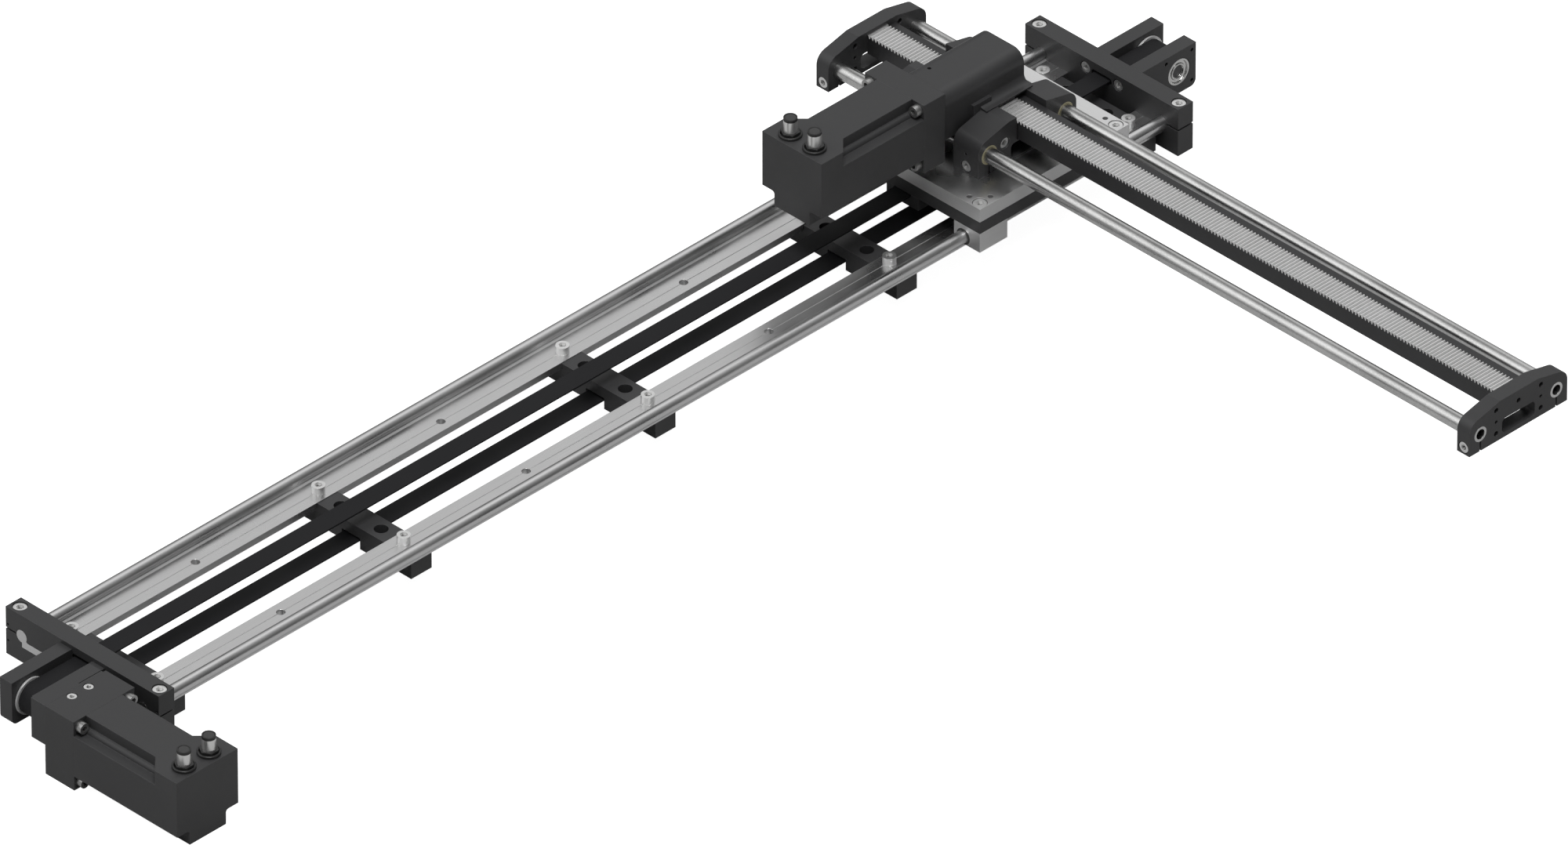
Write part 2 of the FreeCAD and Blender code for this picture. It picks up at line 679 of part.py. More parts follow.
def make_bearings():
    rings = []
    for number, (end, side) in enumerate(bearing_places()):
        axis = (end * pulley_x, s.belt_axis_z)
        low, high = bearing_span(side)
        outer = rod(f"Race{number}", "y", axis, s.bearing_od / 2, (low, high))
        bore = rod(f"RaceBore{number}", "y", axis, race_r + s.ring_gap, (low - 1, high + 1))
        shield_r = s.bearing_od / 2 - s.shield_width
        left = rod(f"RaceLeft{number}", "y", axis, shield_r, (low - 1, low + s.shield_depth))
        right = rod(f"RaceRight{number}", "y", axis, shield_r, (high - s.shield_depth, high + 1))
        rings.append(cut(f"RaceRing{number}", outer, bore, left, right))
    keep(group("ForkBearings", *rings), "fork_bearings")


def make_inner_rings(label, end):
    name = camel(label)
    rings = []
    for side in (-1, 1):
        axis = (end * pulley_x, s.belt_axis_z)
        low, high = bearing_span(side)
        ring = rod(f"{name}Ring{side + 1}", "y", axis, race_r, (low, high))
        bore = rod(f"{name}Bore{side + 1}", "y", axis, pulley_shaft_r + s.fit, (low - 1, high + 1))
        rings.append(cut(f"{name}Cut{side + 1}", ring, bore))
    keep(group(name, *rings), label)


def make_pulley(label, end):
    name = camel(label)
    rim = s.belt_inner_r - s.play
    half = s.fork_gap / 2 - 0.4
    belt = s.belt_width / 2 + s.play
    flange = rim + s.belt_thick + 2
    corners = [(-half, pulley_shaft_r + s.fit), (-half, flange), (-belt, flange), (-belt, rim),
               (belt, rim), (belt, flange), (half, flange), (half, pulley_shaft_r + s.fit)]
    keep(turned(name, corners, (end * pulley_x, 0, s.belt_axis_z), "y"), label)


def make_pulley_shafts():
    axis = (-pulley_x, s.belt_axis_z)
    far = (pulley_x, s.belt_axis_z)
    near = -fork_side - s.adapter_long - 14
    keep(rod("DriveShaft", "y", axis, pulley_shaft_r, (near, bearing_out)), "drive_shaft")
    keep(rod("IdlerAxle", "y", far, pulley_shaft_r, (-bearing_out, bearing_out)), "idler_axle")


def belt_loop(name, radius, span):
    ends = [rod(f"{name}End{end + 1}", "y", (end * pulley_x, s.belt_axis_z), radius, span)
            for end in (-1, 1)]
    middle = block(name + "Middle", (-pulley_x, pulley_x), span,
                   (s.belt_axis_z - radius, s.belt_axis_z + radius))
    return fuse(name, middle, *ends)


def make_belt():
    half = s.belt_width / 2
    outer = belt_loop("BeltOuter", s.belt_inner_r + s.belt_thick, (-half, half))
    inner = belt_loop("BeltInner", s.belt_inner_r, (-half - 1, half + 1))
    keep(cut("Belt", outer, inner), "drive_belt")


# Motors

def swap(axis, along, across):
    """X and Y from values along and across the motor axis."""
    return (along, across) if axis == "x" else (across, along)


def motor_box(name, axis, centre, spans):
    along, across, level = spans
    cross, z = centre
    sides = (across[0] + cross, across[1] + cross)
    first, second = swap(axis, along, sides)
    return block(name, first, second, (level[0] + z, level[1] + z))


def make_motor(prefix, axis, end_face, centre, flange_length):
    """Motor with its end face at a low value of its axis and its flange block at the high end."""
    wide = s.motor_wide / 2
    high = s.motor_high / 2
    cross, z = centre
    seam = end_face + s.motor_body
    body = motor_box(prefix + "Body", axis, centre, ((end_face, seam), (-wide, wide), (-high, high)))
    tools = []
    ribs = []
    for side in (-1, 1):
        lines = [(end_face + s.motor_head, cross + side * (wide + 0.1)),
                 (end_face + s.motor_head + s.motor_rebate, cross + side * (wide - s.motor_rebate)),
                 (seam + 1, cross + side * (wide - s.motor_rebate)),
                 (seam + 1, cross + side * (wide + 0.1))]
        corners = [swap(axis, *line) for line in lines]
        tools.append(profile(f"{prefix}Upper{side + 1}", "z", corners,
                             (z + high - s.motor_rebate, z + high + 1)))
        inner = cross + side * (wide - s.motor_rebate)
        outer = cross + side * (wide + 1)
        step = z - high + s.motor_rebate
        section = [(outer, z - high - 1), (inner, z - high - 1), (inner, step, s.motor_hollow),
                   (outer, step)]
        tools.append(profile(f"{prefix}Lower{side + 1}", axis, section, (end_face - 1, seam + 1)))
        ribs.append(rod(f"{prefix}Rib{side + 1}", axis, (inner, z + high - s.motor_rebate),
                        s.motor_rib_r, (end_face + s.motor_head, seam)))
    keep(fuse(prefix + "Housing", cut(prefix + "Cut", body, *tools), *ribs), f"{prefix}_housing")

    tail = seam + flange_length
    flange = motor_box(prefix + "Flange", axis, centre, ((seam, tail), (-wide, wide), (-high, high)))
    bore_r = pulley_shaft_r + 0.3
    drills = [rod(prefix + "Output", axis, (cross, z), bore_r, (tail - 16, tail + 1))]
    places = []
    for side in (-1, 1):
        for level in (-1, 1):
            hole = (cross + side * (wide - s.motor_rebate / 2), z + level * (high - s.motor_rebate / 2))
            drills.append(rod(f"{prefix}Drill{side + 1}{level + 1}", axis, hole, m5_r,
                              (seam - 1, tail + 1)))
            point = (*swap(axis, seam, hole[0]), hole[1])
            places.append((point, "-" + axis))
    original = screw(prefix + "Screw", "m5", flange_length - 1)
    keep(copies(prefix + "Screws", original, places), f"{prefix}_flange_screws")
    make_connectors(prefix, axis, end_face, (cross, z + high))
    return flange, drills


def make_connectors(prefix, axis, end_face, centre):
    cross, top = centre
    shells = []
    nuts = []
    radius = s.connector_d / 2
    nut_high = s.connector_high / 4
    for side in (-1, 1):
        x, y = swap(axis, end_face + s.connector_inset, cross + side * s.connector_pitch / 2)
        mark = f"{prefix}Plug{side + 1}"
        shell = rod(mark, "z", (x, y), radius, (top, top + s.connector_high))
        end = top + s.connector_high
        bore = rod(mark + "Bore", "z", (x, y), radius - 1, (end - 6, end + 1))
        shells.append(cut(mark + "Cut", shell, bore))
        nut = new("Part::Prism", mark + "Nut")
        nut.Polygon = 6
        bind(nut, "Circumradius", radius + 2.2)
        bind(nut, "Height", nut_high)
        seat(nut, (x, y, top))
        hole = rod(mark + "NutHole", "z", (x, y), radius + s.fit, (top - 1, top + nut_high + 1))
        nuts.append(cut(mark + "NutCut", nut, hole))
    keep(group(prefix + "Connectors", *shells), f"{prefix}_connectors")
    keep(group(prefix + "Nuts", *nuts), f"{prefix}_connector_nuts")


def make_base_motor():
    tail = -fork_side - s.adapter_long
    end_face = tail - s.base_flange - s.motor_body
    centre = (-pulley_x, s.belt_axis_z)
    flange, drills = make_motor("base_motor", "y", end_face, centre, s.base_flange)
    top = s.belt_axis_z + s.motor_high / 2
    places = []
    for side in (-1, 1):
        place = (-pulley_x + side * s.adapter_screw_x / 2, tail - 5)
        drills.append(rod(f"TopHead{side + 1}", "z", place, s.m4_head_d / 2 + 0.4,
                          (top - s.m4_head - 0.5, top + 1)))
        drills.append(rod(f"TopShank{side + 1}", "z", place, m4_r, (top - 18, top)))
        places.append(((*place, top - s.m4_head - 0.5), "z"))
    keep(cut("BaseFlange", flange, *drills), "base_motor_flange")

    half = s.motor_wide / 2
    span = (tail, -fork_side)
    upper = block("AdapterUpper", (-pulley_x - half, -pulley_x + half - s.adapter_short), span,
                  (s.belt_axis_z - s.adapter_low, top))
    boss = rod("AdapterBoss", "y", centre, s.adapter_boss_r, span)
    solid = fuse("AdapterSolid", upper, boss)
    seam_y = tail + s.adapter_seam_y
    seat_y = tail + s.m3_head + 1
    tools = [
        rod("AdapterBore", "y", centre, pulley_shaft_r + 2, (tail - 1, -fork_side + 1)),
        block("AdapterSeam", (-pulley_x + s.adapter_seam_x, -pulley_x + half),
              (seam_y, seam_y + s.adapter_seam), (top - 2, top + 1)),
    ]
    adapter_places = []
    for across in (-1, 1):
        for level in (-1, 1):
            place = (-pulley_x + across * s.cover_tap, s.belt_axis_z + level * s.cover_tap)
            mark = f"Adapter{across + 1}{level + 1}"
            tools.append(rod(mark + "Head", "y", place, s.m3_head_d / 2 + 0.35, (tail - 1, seat_y)))
            tools.append(rod(mark + "Shank", "y", place, m3_r, (tail, -fork_side + 1)))
            adapter_places.append(((place[0], seat_y, place[1]), "-y"))
    keep(cut("Adapter", solid, *tools), "base_motor_adapter")

    head = rod("SmallHead", "z", (0, 0), s.m3_head_d / 2, (0, s.m3_head))
    shank = rod("SmallShank", "z", (0, 0), s.m3_d / 2, (-(s.adapter_long + 1), 0))
    fixing = copies("AdapterScrews", fuse("SmallScrew", head, shank), adapter_places)
    clamp = copies("TopScrews", screw("TopScrew", "m4", s.m4_d * 3 + 1), places)
    keep(group("AdapterFixing", fixing, clamp), "base_motor_adapter_screws")


# Carriage

def carriage_corners():
    return [(x, y) for x in (-1, 1) for y in (-1, 1)]


def plate_span(half_x, half_y):
    return (s.carriage_x - half_x, s.carriage_x + half_x), (-half_y, half_y)


def screw_places():
    reach_x = s.plate_long / 2 - s.plate_screw_inset
    reach_y = plate_wide / 2 - s.plate_screw_inset
    return [(s.carriage_x + x * reach_x, y * reach_y) for x, y in carriage_corners()]


def guide_screw_places():
    middle_y = s.guide_outer - s.guide_long / 2
    return [(arm_x + x * s.guide_screw_x / 2, y * middle_y) for x, y in carriage_corners()]


def clamp_screw_places():
    reach_x = s.plate_long / 2 - s.belt_clamp_long / 2
    reach_y = s.belt_clamp_wide / 2 - s.clamp_screw_edge
    return [(s.carriage_x + x * reach_x, y * reach_y) for x, y in carriage_corners()]


def make_plates():
    spans = plate_span(s.plate_long / 2, plate_wide / 2)
    upper = block("UpperPlate", *spans, (lower_plate_top, plate_top))
    lower = block("LowerPlate", *spans, (s.plate_bottom, lower_plate_top))
    seat_z = plate_top - s.m6_head - 0.6
    under = s.plate_bottom - 1
    upper_through = (lower_plate_top - 1, plate_top + 1)
    lower_through = (under, lower_plate_top + 1)
    upper_tools = []
    lower_tools = []
    for number, place in enumerate(screw_places()):
        upper_tools.append(rod(f"PlateHead{number}", "z", place, s.m6_head_d / 2 + s.head_gap,
                               (seat_z, plate_top + 1)))
        upper_tools.append(rod(f"PlateShank{number}", "z", place, m6_r, upper_through))
        lower_tools.append(rod(f"LowerShank{number}", "z", place, m6_r, lower_through))
        toward_x, toward_y = carriage_corners()[number]
        beside = (place[0] - toward_x * s.dowel_pitch, place[1])
        behind = (place[0], place[1] - toward_y * s.dowel_pitch)
        for index, pin in enumerate((beside, behind)):
            upper_tools.append(rod(f"PlatePin{number}{index}", "z", pin, s.dowel_r,
                                   (plate_top - s.dowel_deep, plate_top + 1)))
    for number, place in enumerate(guide_screw_places()):
        upper_tools.append(rod(f"UpperGuide{number}", "z", place, m5_r, upper_through))
        lower_tools.append(rod(f"LowerGuide{number}", "z", place, m5_r, lower_through))
        lower_tools.append(rod(f"LowerHead{number}", "z", place, s.m5_head_d / 2 + s.head_gap,
                               (under, s.plate_bottom + m5_seat)))
    for number, place in enumerate(clamp_screw_places()):
        lower_tools.append(rod(f"LowerClamp{number}", "z", place, m4_r,
                               (under, s.plate_bottom + s.belt_clamp_high)))
    keep(cut("UpperPlateCut", upper, *upper_tools), "carriage_top_plate")
    keep(cut("LowerPlateCut", lower, *lower_tools), "carriage_lower_plate")
    original = screw("PlateScrew", "m6", s.upper_plate + s.lower_plate - s.m6_head - 0.6 + 10)
    keep(copies("PlateScrews", original, [((*place, seat_z), "z") for place in screw_places()]),
         "carriage_plate_screws")


def rail_opening(name, side, span):
    """The way left open for the rail neck and flange under a block or liner."""
    above = flange_top + 2.1
    edge = side * (rail_y + 0.6)
    inner = side * (rail_y - s.block_wide - s.flange_reach / 2)
    corners = [(edge, flange_bottom - 6), (edge, flange_top + 0.7), (side * (rail_y - 3.4), above),
               (inner, above), (inner, flange_bottom - 6)]
    return profile(name, "x", corners, span)


def make_bearing_blocks():
    liners = []
    for number, (toward_x, side) in enumerate(carriage_corners(), start=1):
        outer_x = s.carriage_x + toward_x * s.plate_long / 2
        span = sorted((outer_x, outer_x - toward_x * s.block_long), key=float)
        across = sorted((side * plate_wide / 2, side * (plate_wide / 2 - s.block_wide)), key=float)
        longer = (span[0] - 1, span[1] + 1)
        axis = (side * rail_y, rail_z)
        name = f"Block{number}"
        solid = block(name, span, across, (s.plate_bottom - s.block_high, s.plate_bottom))
        liner_r = shaft_r + s.fit + s.liner_wall
        place = screw_places()[number - 1]
        tools = [
            rod(name + "Bore", "x", axis, liner_r + s.fit, longer),
            rail_opening(name + "Way", side, longer),
            rod(name + "Thread", "z", place, m6_r, (s.plate_bottom - 11, s.plate_bottom + 1)),
        ]
        keep(cut(name + "Cut", solid, *tools), f"bearing_block_{number}")
        ring = rod(name + "Liner", "x", axis, liner_r, span)
        bore = rod(name + "LinerBore", "x", axis, shaft_r + s.fit, longer)
        liners.append(cut(name + "LinerCut", ring, bore, rail_opening(name + "LinerWay", side, longer)))
    keep(group("RailLiners", *liners), "rail_liners")


def make_belt_clamps():
    top = belt_top - s.play
    low = top - s.belt_clamp_high
    for number, toward_x in enumerate((-1, 1), start=1):
        outer_x = s.carriage_x + toward_x * s.plate_long / 2
        span = sorted((outer_x, outer_x - toward_x * s.belt_clamp_long), key=float)
        half = s.belt_clamp_wide / 2
        name = f"Clamp{number}"
        solid = block(name, span, (-half, half), (low, s.plate_bottom))
        way = block(name + "Way", (span[0] - 1, span[1] + 1),
                    (-s.belt_width / 2 - s.play, s.belt_width / 2 + s.play), (top, s.plate_bottom + 1))
        holes = []
        for index, place in enumerate(clamp_screw_places()):
            if carriage_corners()[index][0] == toward_x:
                holes.append(rod(f"{name}Hole{index}", "z", place, m4_r, (low - 1, s.plate_bottom + 1)))
                holes.append(rod(f"{name}Head{index}", "z", place, s.m4_head_d / 2 + 0.2,
                                 (low - 1, low + s.m4_head + 0.3)))
        keep(cut(name + "Cut", solid, way, *holes), f"belt_clamp_{number}")
    original = screw("ClampScrew", "m4", s.belt_clamp_high + 4, False)
    places = [((*place, low + s.m4_head + 0.3), "-z") for place in clamp_screw_places()]
    keep(copies("ClampScrews", original, places), "belt_clamp_screws")


# Arm guides on the carriage

def arch_corners(bottom):
    """The outline that the end plates and guides share, seen along the arm."""
    half = arm_plate_half
    shoulder = s.arm_axis_z + s.arch_side + s.arch_round
    return [
        (arm_x - half, bottom), (arm_x + half, bottom), (arm_x + half, shoulder, s.arch_round),
        (arm_x + s.arch_flat / 2, arm_plate_top), (arm_x - s.arch_flat / 2, arm_plate_top),
        (arm_x - half, shoulder, s.arch_round),
    ]


def slot_tool(name, span, low):
    half = s.slot_wide / 2
    high = low + s.slot_high
    corners = [(arm_x - half, low, s.slot_round), (arm_x + half, low, s.slot_round),
               (arm_x + half, high, s.slot_round), (arm_x - half, high, s.slot_round)]
    return profile(name, "y", corners, span)


def side_clamp(name, side, y, z, length):
    """Head bore and shank hole of a clamp screw in a side face."""
    face = arm_x + side * arm_plate_half
    seat_x = face - side * m5_seat
    head = sorted((seat_x, face + side), key=float)
    shank = sorted((seat_x + side, seat_x - side * length), key=float)
    return [rod(name + "Head", "x", (y, z), s.m5_head_d / 2 + s.head_gap, head),
            rod(name + "Shank", "x", (y, z), m5_r, shank)]


def make_guides():
    clamp_z = plate_top + s.side_clamp_low
    middle_y = s.guide_outer - s.guide_long / 2
    bushes = []
    places = [((*place, s.plate_bottom + m5_seat), "-z") for place in guide_screw_places()]
    length = s.lower_plate + s.upper_plate - m5_seat + 10
    vertical = copies("GuideVertical", screw("GuideLong", "m5", length, False), places)
    cross_places = []
    side_places = []
    for label, side in (("guide_front", -1), ("guide_rear", 1)):
        name = camel(label)
        span = sorted((side * guide_inner, side * s.guide_outer), key=float)
        longer = (span[0] - 1, span[1] + 1)
        solid = profile(name, "y", arch_corners(plate_top), span)
        tools = [
            slot_tool(name + "Slot", longer, plate_top + s.guide_slot_low),
            block(name + "RackWay", (rack_left - s.rack_room, bar_right + s.rack_room), longer,
                  (s.rack_bottom - s.rack_room, arm_plate_top + 1)),
        ]
        for x in (-1, 1):
            axis = (arm_x + x * s.arm_spacing / 2, s.arm_axis_z)
            outer = arm_shaft_r + s.fit + s.bush_wall
            mark = f"{name}{x + 1}"
            tools.append(rod(mark + "Bore", "y", axis, outer + s.fit, longer))
            tools.append(block(mark + "Slit", (axis[0] - s.clamp_slit / 2, axis[0] + s.clamp_slit / 2),
                               longer, (plate_top - 1, s.arm_axis_z)))
            tools.extend(side_clamp(mark + "Clamp", x, side * middle_y, clamp_z, s.plate_side + 3))
            bush = rod(mark + "Bush", "y", axis, outer, span)
            way = rod(mark + "BushBore", "y", axis, arm_shaft_r + s.fit, longer)
            bushes.append(cut(mark + "BushCut", bush, way))
            seat_x = arm_x + x * (arm_plate_half - m5_seat)
            side_places.append(((seat_x, side * middle_y, clamp_z), "x" if x > 0 else "-x"))
            face_x = arm_x + x * arm_plate_half
            drill_x = sorted((face_x - 2 * x, face_x + x), key=float)
            tools.append(rod(mark + "Pin", "x", (side * middle_y, s.arm_axis_z), pin_r, drill_x))
            screw_x = arm_x + x * s.tool_hole_x / 2
            face_y = side * (s.guide_outer - s.m5_head - 1)
            head_y = sorted((face_y, side * (s.guide_outer + 1)), key=float)
            tools.append(rod(mark + "FaceHead", "y", (screw_x, face_screw_z), s.m5_head_d / 2 + s.play,
                             head_y))
            tools.append(rod(mark + "FaceShank", "y", (screw_x, face_screw_z), m5_r, longer))
            cross_places.append(((screw_x, face_y, face_screw_z), "y" if side > 0 else "-y"))
            place = (arm_x + x * s.guide_screw_x / 2, side * middle_y)
            tools.append(rod(mark + "Vertical", "z", place, m5_r, (plate_top - 1, plate_top + 11)))
        keep(cut(name + "Cut", solid, *tools), label)
    keep(group("GuideBushes", *bushes), "guide_bushes")
    faces = copies("GuideFace", screw("GuideFaceScrew", "m5", s.guide_long - s.m5_head - 1 + 9), cross_places)
    sides = copies("GuideSide", screw("GuideSideScrew", "m5", s.plate_side + 2), side_places)
    keep(group("GuideScrews", vertical, faces, sides), "guide_screws")


# Gear housing, pinion and second motor

def make_gear_housing():
    axis = (0, s.pinion_axis_z)
    half = s.housing_half
    top = s.pinion_axis_z + s.housing_rise
    section = [(-half, housing_low), (half, housing_low), (half, top, s.housing_round),
               (-half, top, s.housing_round)]
    case = profile("Case", "x", section, (housing_start, housing_far))
    foot_top = arm_plate_top + s.foot_high
    neck_top = foot_top + s.foot_flare * 1.4
    corners = [(-s.foot_half, arm_plate_top), (-s.foot_half, foot_top), (-half, foot_top, s.foot_flare),
               (-half, neck_top), (half, neck_top), (half, foot_top, s.foot_flare),
               (s.foot_half, foot_top), (s.foot_half, arm_plate_top)]
    foot = profile("Foot", "x", corners, (housing_far - s.foot_long, housing_far))
    way = (rack_left - s.rack_room, bar_right + s.rack_room)
    wall_y = (-guide_inner, guide_inner)
    left = block("LeftWall", (rack_left - s.wall_left, way[0]), wall_y, (plate_top, s.pinion_axis_z))
    right = block("RightWall", (way[1], bar_right + s.wall_right), wall_y, (plate_top, arm_plate_top - 2))
    solid = fuse("GearHousingSolid", case, foot, left, right)
    long_y = (-s.foot_half - 1, s.foot_half + 1)
    bush_end = housing_far - s.end_wall
    bush_r = pinion_shaft_r + s.pinion_bush_wall
    pin = (housing_start + s.housing_pin_x, s.housing_pin_y)
    tools = [
        block("RackWay", way, long_y, (plate_top + 4, tooth_tip + 1.3)),
        rod("PinionRoom", "x", axis, pitch_r + s.tooth_module + 1.2, (way[0], rack_right + 1)),
        rod("ShaftWay", "x", axis, pinion_shaft_r + 1, (housing_start - 1, bush_end)),
        rod("BushSeat", "x", axis, bush_r, (rack_right, bush_end)),
        rod("HousingPin", "z", pin, 1.5, (top - 4, top + 1)),
    ]
    for side in (-1, 1):
        for x in (-1, 1):
            ends = sorted((side * (guide_inner - 12), side * (guide_inner + 1)), key=float)
            tools.append(rod(f"WallThread{side + 1}{x + 1}", "y",
                             (arm_x + x * s.tool_hole_x / 2, face_screw_z), m5_r, ends))
    keep(cut("GearHousing", solid, *tools), "gear_housing")
    ring = rod("PinionBushRing", "x", axis, bush_r, (rack_right + 1.5, bush_end))
    bore = rod("PinionBushBore", "x", axis, pinion_shaft_r + s.fit, (rack_right, housing_far))
    keep(cut("PinionBush", ring, bore), "pinion_bush")


def make_carriage_motor():
    end_face = housing_start - s.carriage_flange - s.motor_body
    centre = (0, s.pinion_axis_z)
    flange, drills = make_motor("carriage_motor", "x", end_face, centre, s.carriage_flange)
    keep(cut("CarriageFlange", flange, *drills), "carriage_motor_flange")
    span = (housing_start - 12, housing_far - s.end_wall - 0.5)
    keep(rod("PinionShaft", "x", centre, pinion_shaft_r, span), "pinion_shaft")


def involute_profile():
    """Points of the pinion outline, first tooth pointing down, from the gear's own formulas."""
    module = float(s.tooth_module)
    teeth = int(float(s.pinion_teeth))
    pitch = module * teeth / 2
    pressure = math.radians(20)
    base = pitch * math.cos(pressure)
    tip = pitch + module
    root = pitch - 1.25 * module
    thickness = math.pi * module / 2 - float(s.tooth_backlash) / 2
    half_at_base = thickness / 2 / pitch + math.tan(pressure) - pressure
    flank = []
    for step in range(4):
        radius = base + (tip - base) * step / 3
        roll = math.acos(min(1, base / radius))
        flank.append((radius, half_at_base - (math.tan(roll) - roll)))
    points = []
    for tooth in range(teeth):
        middle = 2 * math.pi * tooth / teeth
        side = [(root, half_at_base)] + flank
        for radius, half in side + [(radius, -half) for radius, half in reversed(side)]:
            angle = middle - half
            points.append(Vector(0, radius * math.sin(angle), -radius * math.cos(angle)))
    return points


def make_pinion():
    points = involute_profile()
    face = Part.Face(Part.makePolygon(points + points[:1]))
    solid = face.extrude(Vector(float(s.pinion_wide), 0, 0))
    bore = Part.makeCylinder(float(s.pinion_shaft_d / 2 + s.fit), float(s.pinion_wide) + 2,
                             Vector(-1, 0, 0), Vector(1, 0, 0))
    pinion = new("Part::Feature", "Pinion")
    pinion.Shape = solid.cut(bore)
    seat(pinion, (arm_x - s.pinion_wide / 2, 0, s.pinion_axis_z))
    keep(pinion, "pinion")


# Arm

def make_rack():
    """Toothed bar; a gap lies under the pinion's lowest tooth when the arm is at rest."""
    module = float(s.tooth_module)
    slope = math.tan(math.radians(20))
    half_gap = math.pi * module / 4 + float(s.tooth_backlash) / 4
    at_tip = half_gap + module * slope
    at_root = half_gap - 1.25 * module * slope
    y_low = float(arm_front_y + s.end_plate)
    y_high = float(arm_back_y - s.end_plate)
    bottom, root, tip = (float(level) for level in (s.rack_bottom, tooth_root, tooth_tip))
    pitch = math.pi * module
    points = [Vector(0, y_low, bottom), Vector(0, y_low, tip)]
    for number in range(math.ceil((y_low + at_tip) / pitch), math.floor((y_high - at_tip) / pitch) + 1):
        middle = number * pitch
        points += [Vector(0, middle - at_tip, tip), Vector(0, middle - at_root, root),
                   Vector(0, middle + at_root, root), Vector(0, middle + at_tip, tip)]
    points += [Vector(0, y_high, tip), Vector(0, y_high, bottom)]
    face = Part.Face(Part.makePolygon(points + points[:1]))
    teeth = face.extrude(Vector(float(s.rack_wide), 0, 0))
    ledge = Part.makeBox(float(s.rack_ledge), y_high - y_low, root - 0.2 - bottom,
                         Vector(float(s.rack_wide), y_low, bottom))
    bar = teeth.fuse(ledge).removeSplitter()
    for y, direction in ((y_low, 1), (y_high, -1)):
        bar = bar.cut(Part.makeCylinder(float(m4_r), 14, Vector(
            float(s.rack_wide) / 2, y - direction, float(rack_screw_z)), Vector(0, direction, 0)))
    rack = new("Part::Feature", "Rack")
    rack.Shape = bar
    seat(rack, (rack_left, 0, 0))
    keep(rack, "rack")


def make_arm_shafts():
    for number, x in ((1, -1), (2, 1)):
        axis = (arm_x + x * s.arm_spacing / 2, s.arm_axis_z)
        tube = rod(f"ArmTube{number}", "y", axis, arm_shaft_r, (arm_front_y, arm_back_y))
        bore = rod(f"ArmBore{number}", "y", axis, s.arm_bore_d / 2, (arm_front_y - 1, arm_back_y + 1))
        keep(cut(f"ArmShaft{number}", tube, bore), f"arm_shaft_{number}")


def make_end_plate(label, face_y):
    name = camel(label)
    span = (face_y, face_y + s.end_plate)
    longer = (span[0] - 1, span[1] + 1)
    holes = []
    for x in (-1, 1):
        holes.append((arm_x + x * s.arm_spacing / 2, s.arm_axis_z, arm_shaft_r + s.fit))
        hole_x = arm_x + x * s.tool_hole_x / 2
        low_z = arm_plate_bottom + s.tool_hole_low
        holes.append((hole_x, low_z, s.tool_hole_r))
        holes.append((hole_x, low_z + s.tool_hole_z, s.tool_hole_r))
        holes.append((hole_x, low_z + s.tool_hole_z / 2, s.tool_pin_r))
    holes.append((arm_x, rack_screw_z, m4_r))
    solid = profile(name, "y", arch_corners(arm_plate_bottom), span, holes)
    tools = [slot_tool(name + "Slot", longer, arm_plate_bottom + s.slot_low)]
    for x in (-1, 1):
        centre_x = arm_x + x * s.arm_spacing / 2
        slit = (centre_x - s.clamp_slit / 2, centre_x + s.clamp_slit / 2)
        tools.append(block(f"{name}Slit{x + 1}", slit, longer,
                           (arm_plate_bottom - 1, s.arm_axis_z - arm_shaft_r + 0.5)))
        tools.extend(side_clamp(f"{name}Clamp{x + 1}", x, face_y + s.end_plate / 2,
                                arm_plate_bottom + s.side_clamp_low, s.plate_side + 2))
    keep(cut(name + "Cut", solid, *tools), label)


def make_arm_screws():
    clamp_z = arm_plate_bottom + s.side_clamp_low
    places = []
    for face_y in (arm_front_y, arm_back_y - s.end_plate):
        for x in (-1, 1):
            seat_x = arm_x + x * (arm_plate_half - m5_seat)
            point = (seat_x, face_y + s.end_plate / 2, clamp_z)
            places.append((point, "x" if x > 0 else "-x"))
    original = screw("ArmClampScrew", "m5", s.plate_side + 1)
    keep(copies("ArmClampScrews", original, places), "arm_clamp_screws")
    centre = (arm_x, rack_screw_z)
    reach = s.end_plate + s.rack_pin_grip
    front = (arm_front_y + s.rack_pin_sunk, arm_front_y + reach)
    back = (arm_back_y - reach, arm_back_y - s.rack_pin_sunk)
    pins = [rod("RackPinFront", "y", centre, s.m4_d / 2, front),
            rod("RackPinBack", "y", centre, s.m4_d / 2, back)]
    keep(group("RackScrews", *pins), "rack_screws")


make_rail("rail_left", 1)
make_rail("rail_right", -1)
for number, x in enumerate(support_places, start=1):
    make_support(number, x)
make_rail_screws()
make_bracket("bracket_near", -1)
make_bracket("bracket_far", 1)
make_bracket_screws()
make_fork("fork_near", -1)
make_fork("fork_far", 1)
make_fork_screws()
make_bearings()
make_inner_rings("drive_bearing_rings", -1)
make_inner_rings("idler_bearing_rings", 1)
make_pulley("drive_pulley", -1)
make_pulley("idler_pulley", 1)
make_pulley_shafts()
make_belt()
make_base_motor()
make_plates()
make_bearing_blocks()
make_belt_clamps()
make_guides()
make_gear_housing()
make_carriage_motor()
make_pinion()
make_rack()
make_arm_shafts()
make_end_plate("end_plate_front", arm_front_y)
make_end_plate("end_plate_back", arm_back_y - s.end_plate)
make_arm_screws()

doc.recompute()
for item in doc.Objects:
    if "Invalid" in item.State or "Error" in item.State:
        raise RuntimeError(f"{item.Name} failed: {item.State}")

os.makedirs("parts", exist_ok=True)
for node in nodes:
    shape = node.Shape
    if shape.isNull() or not shape.isValid():
        raise RuntimeError(f"{node.Label} has no valid shape")
    shape.exportStep(f"parts/{node.Label}.step")
    print(node.Label, len(shape.Solids), round(shape.Volume))
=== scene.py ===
"""Looks of a two-axis gantry robot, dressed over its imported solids. Everything is in metres."""

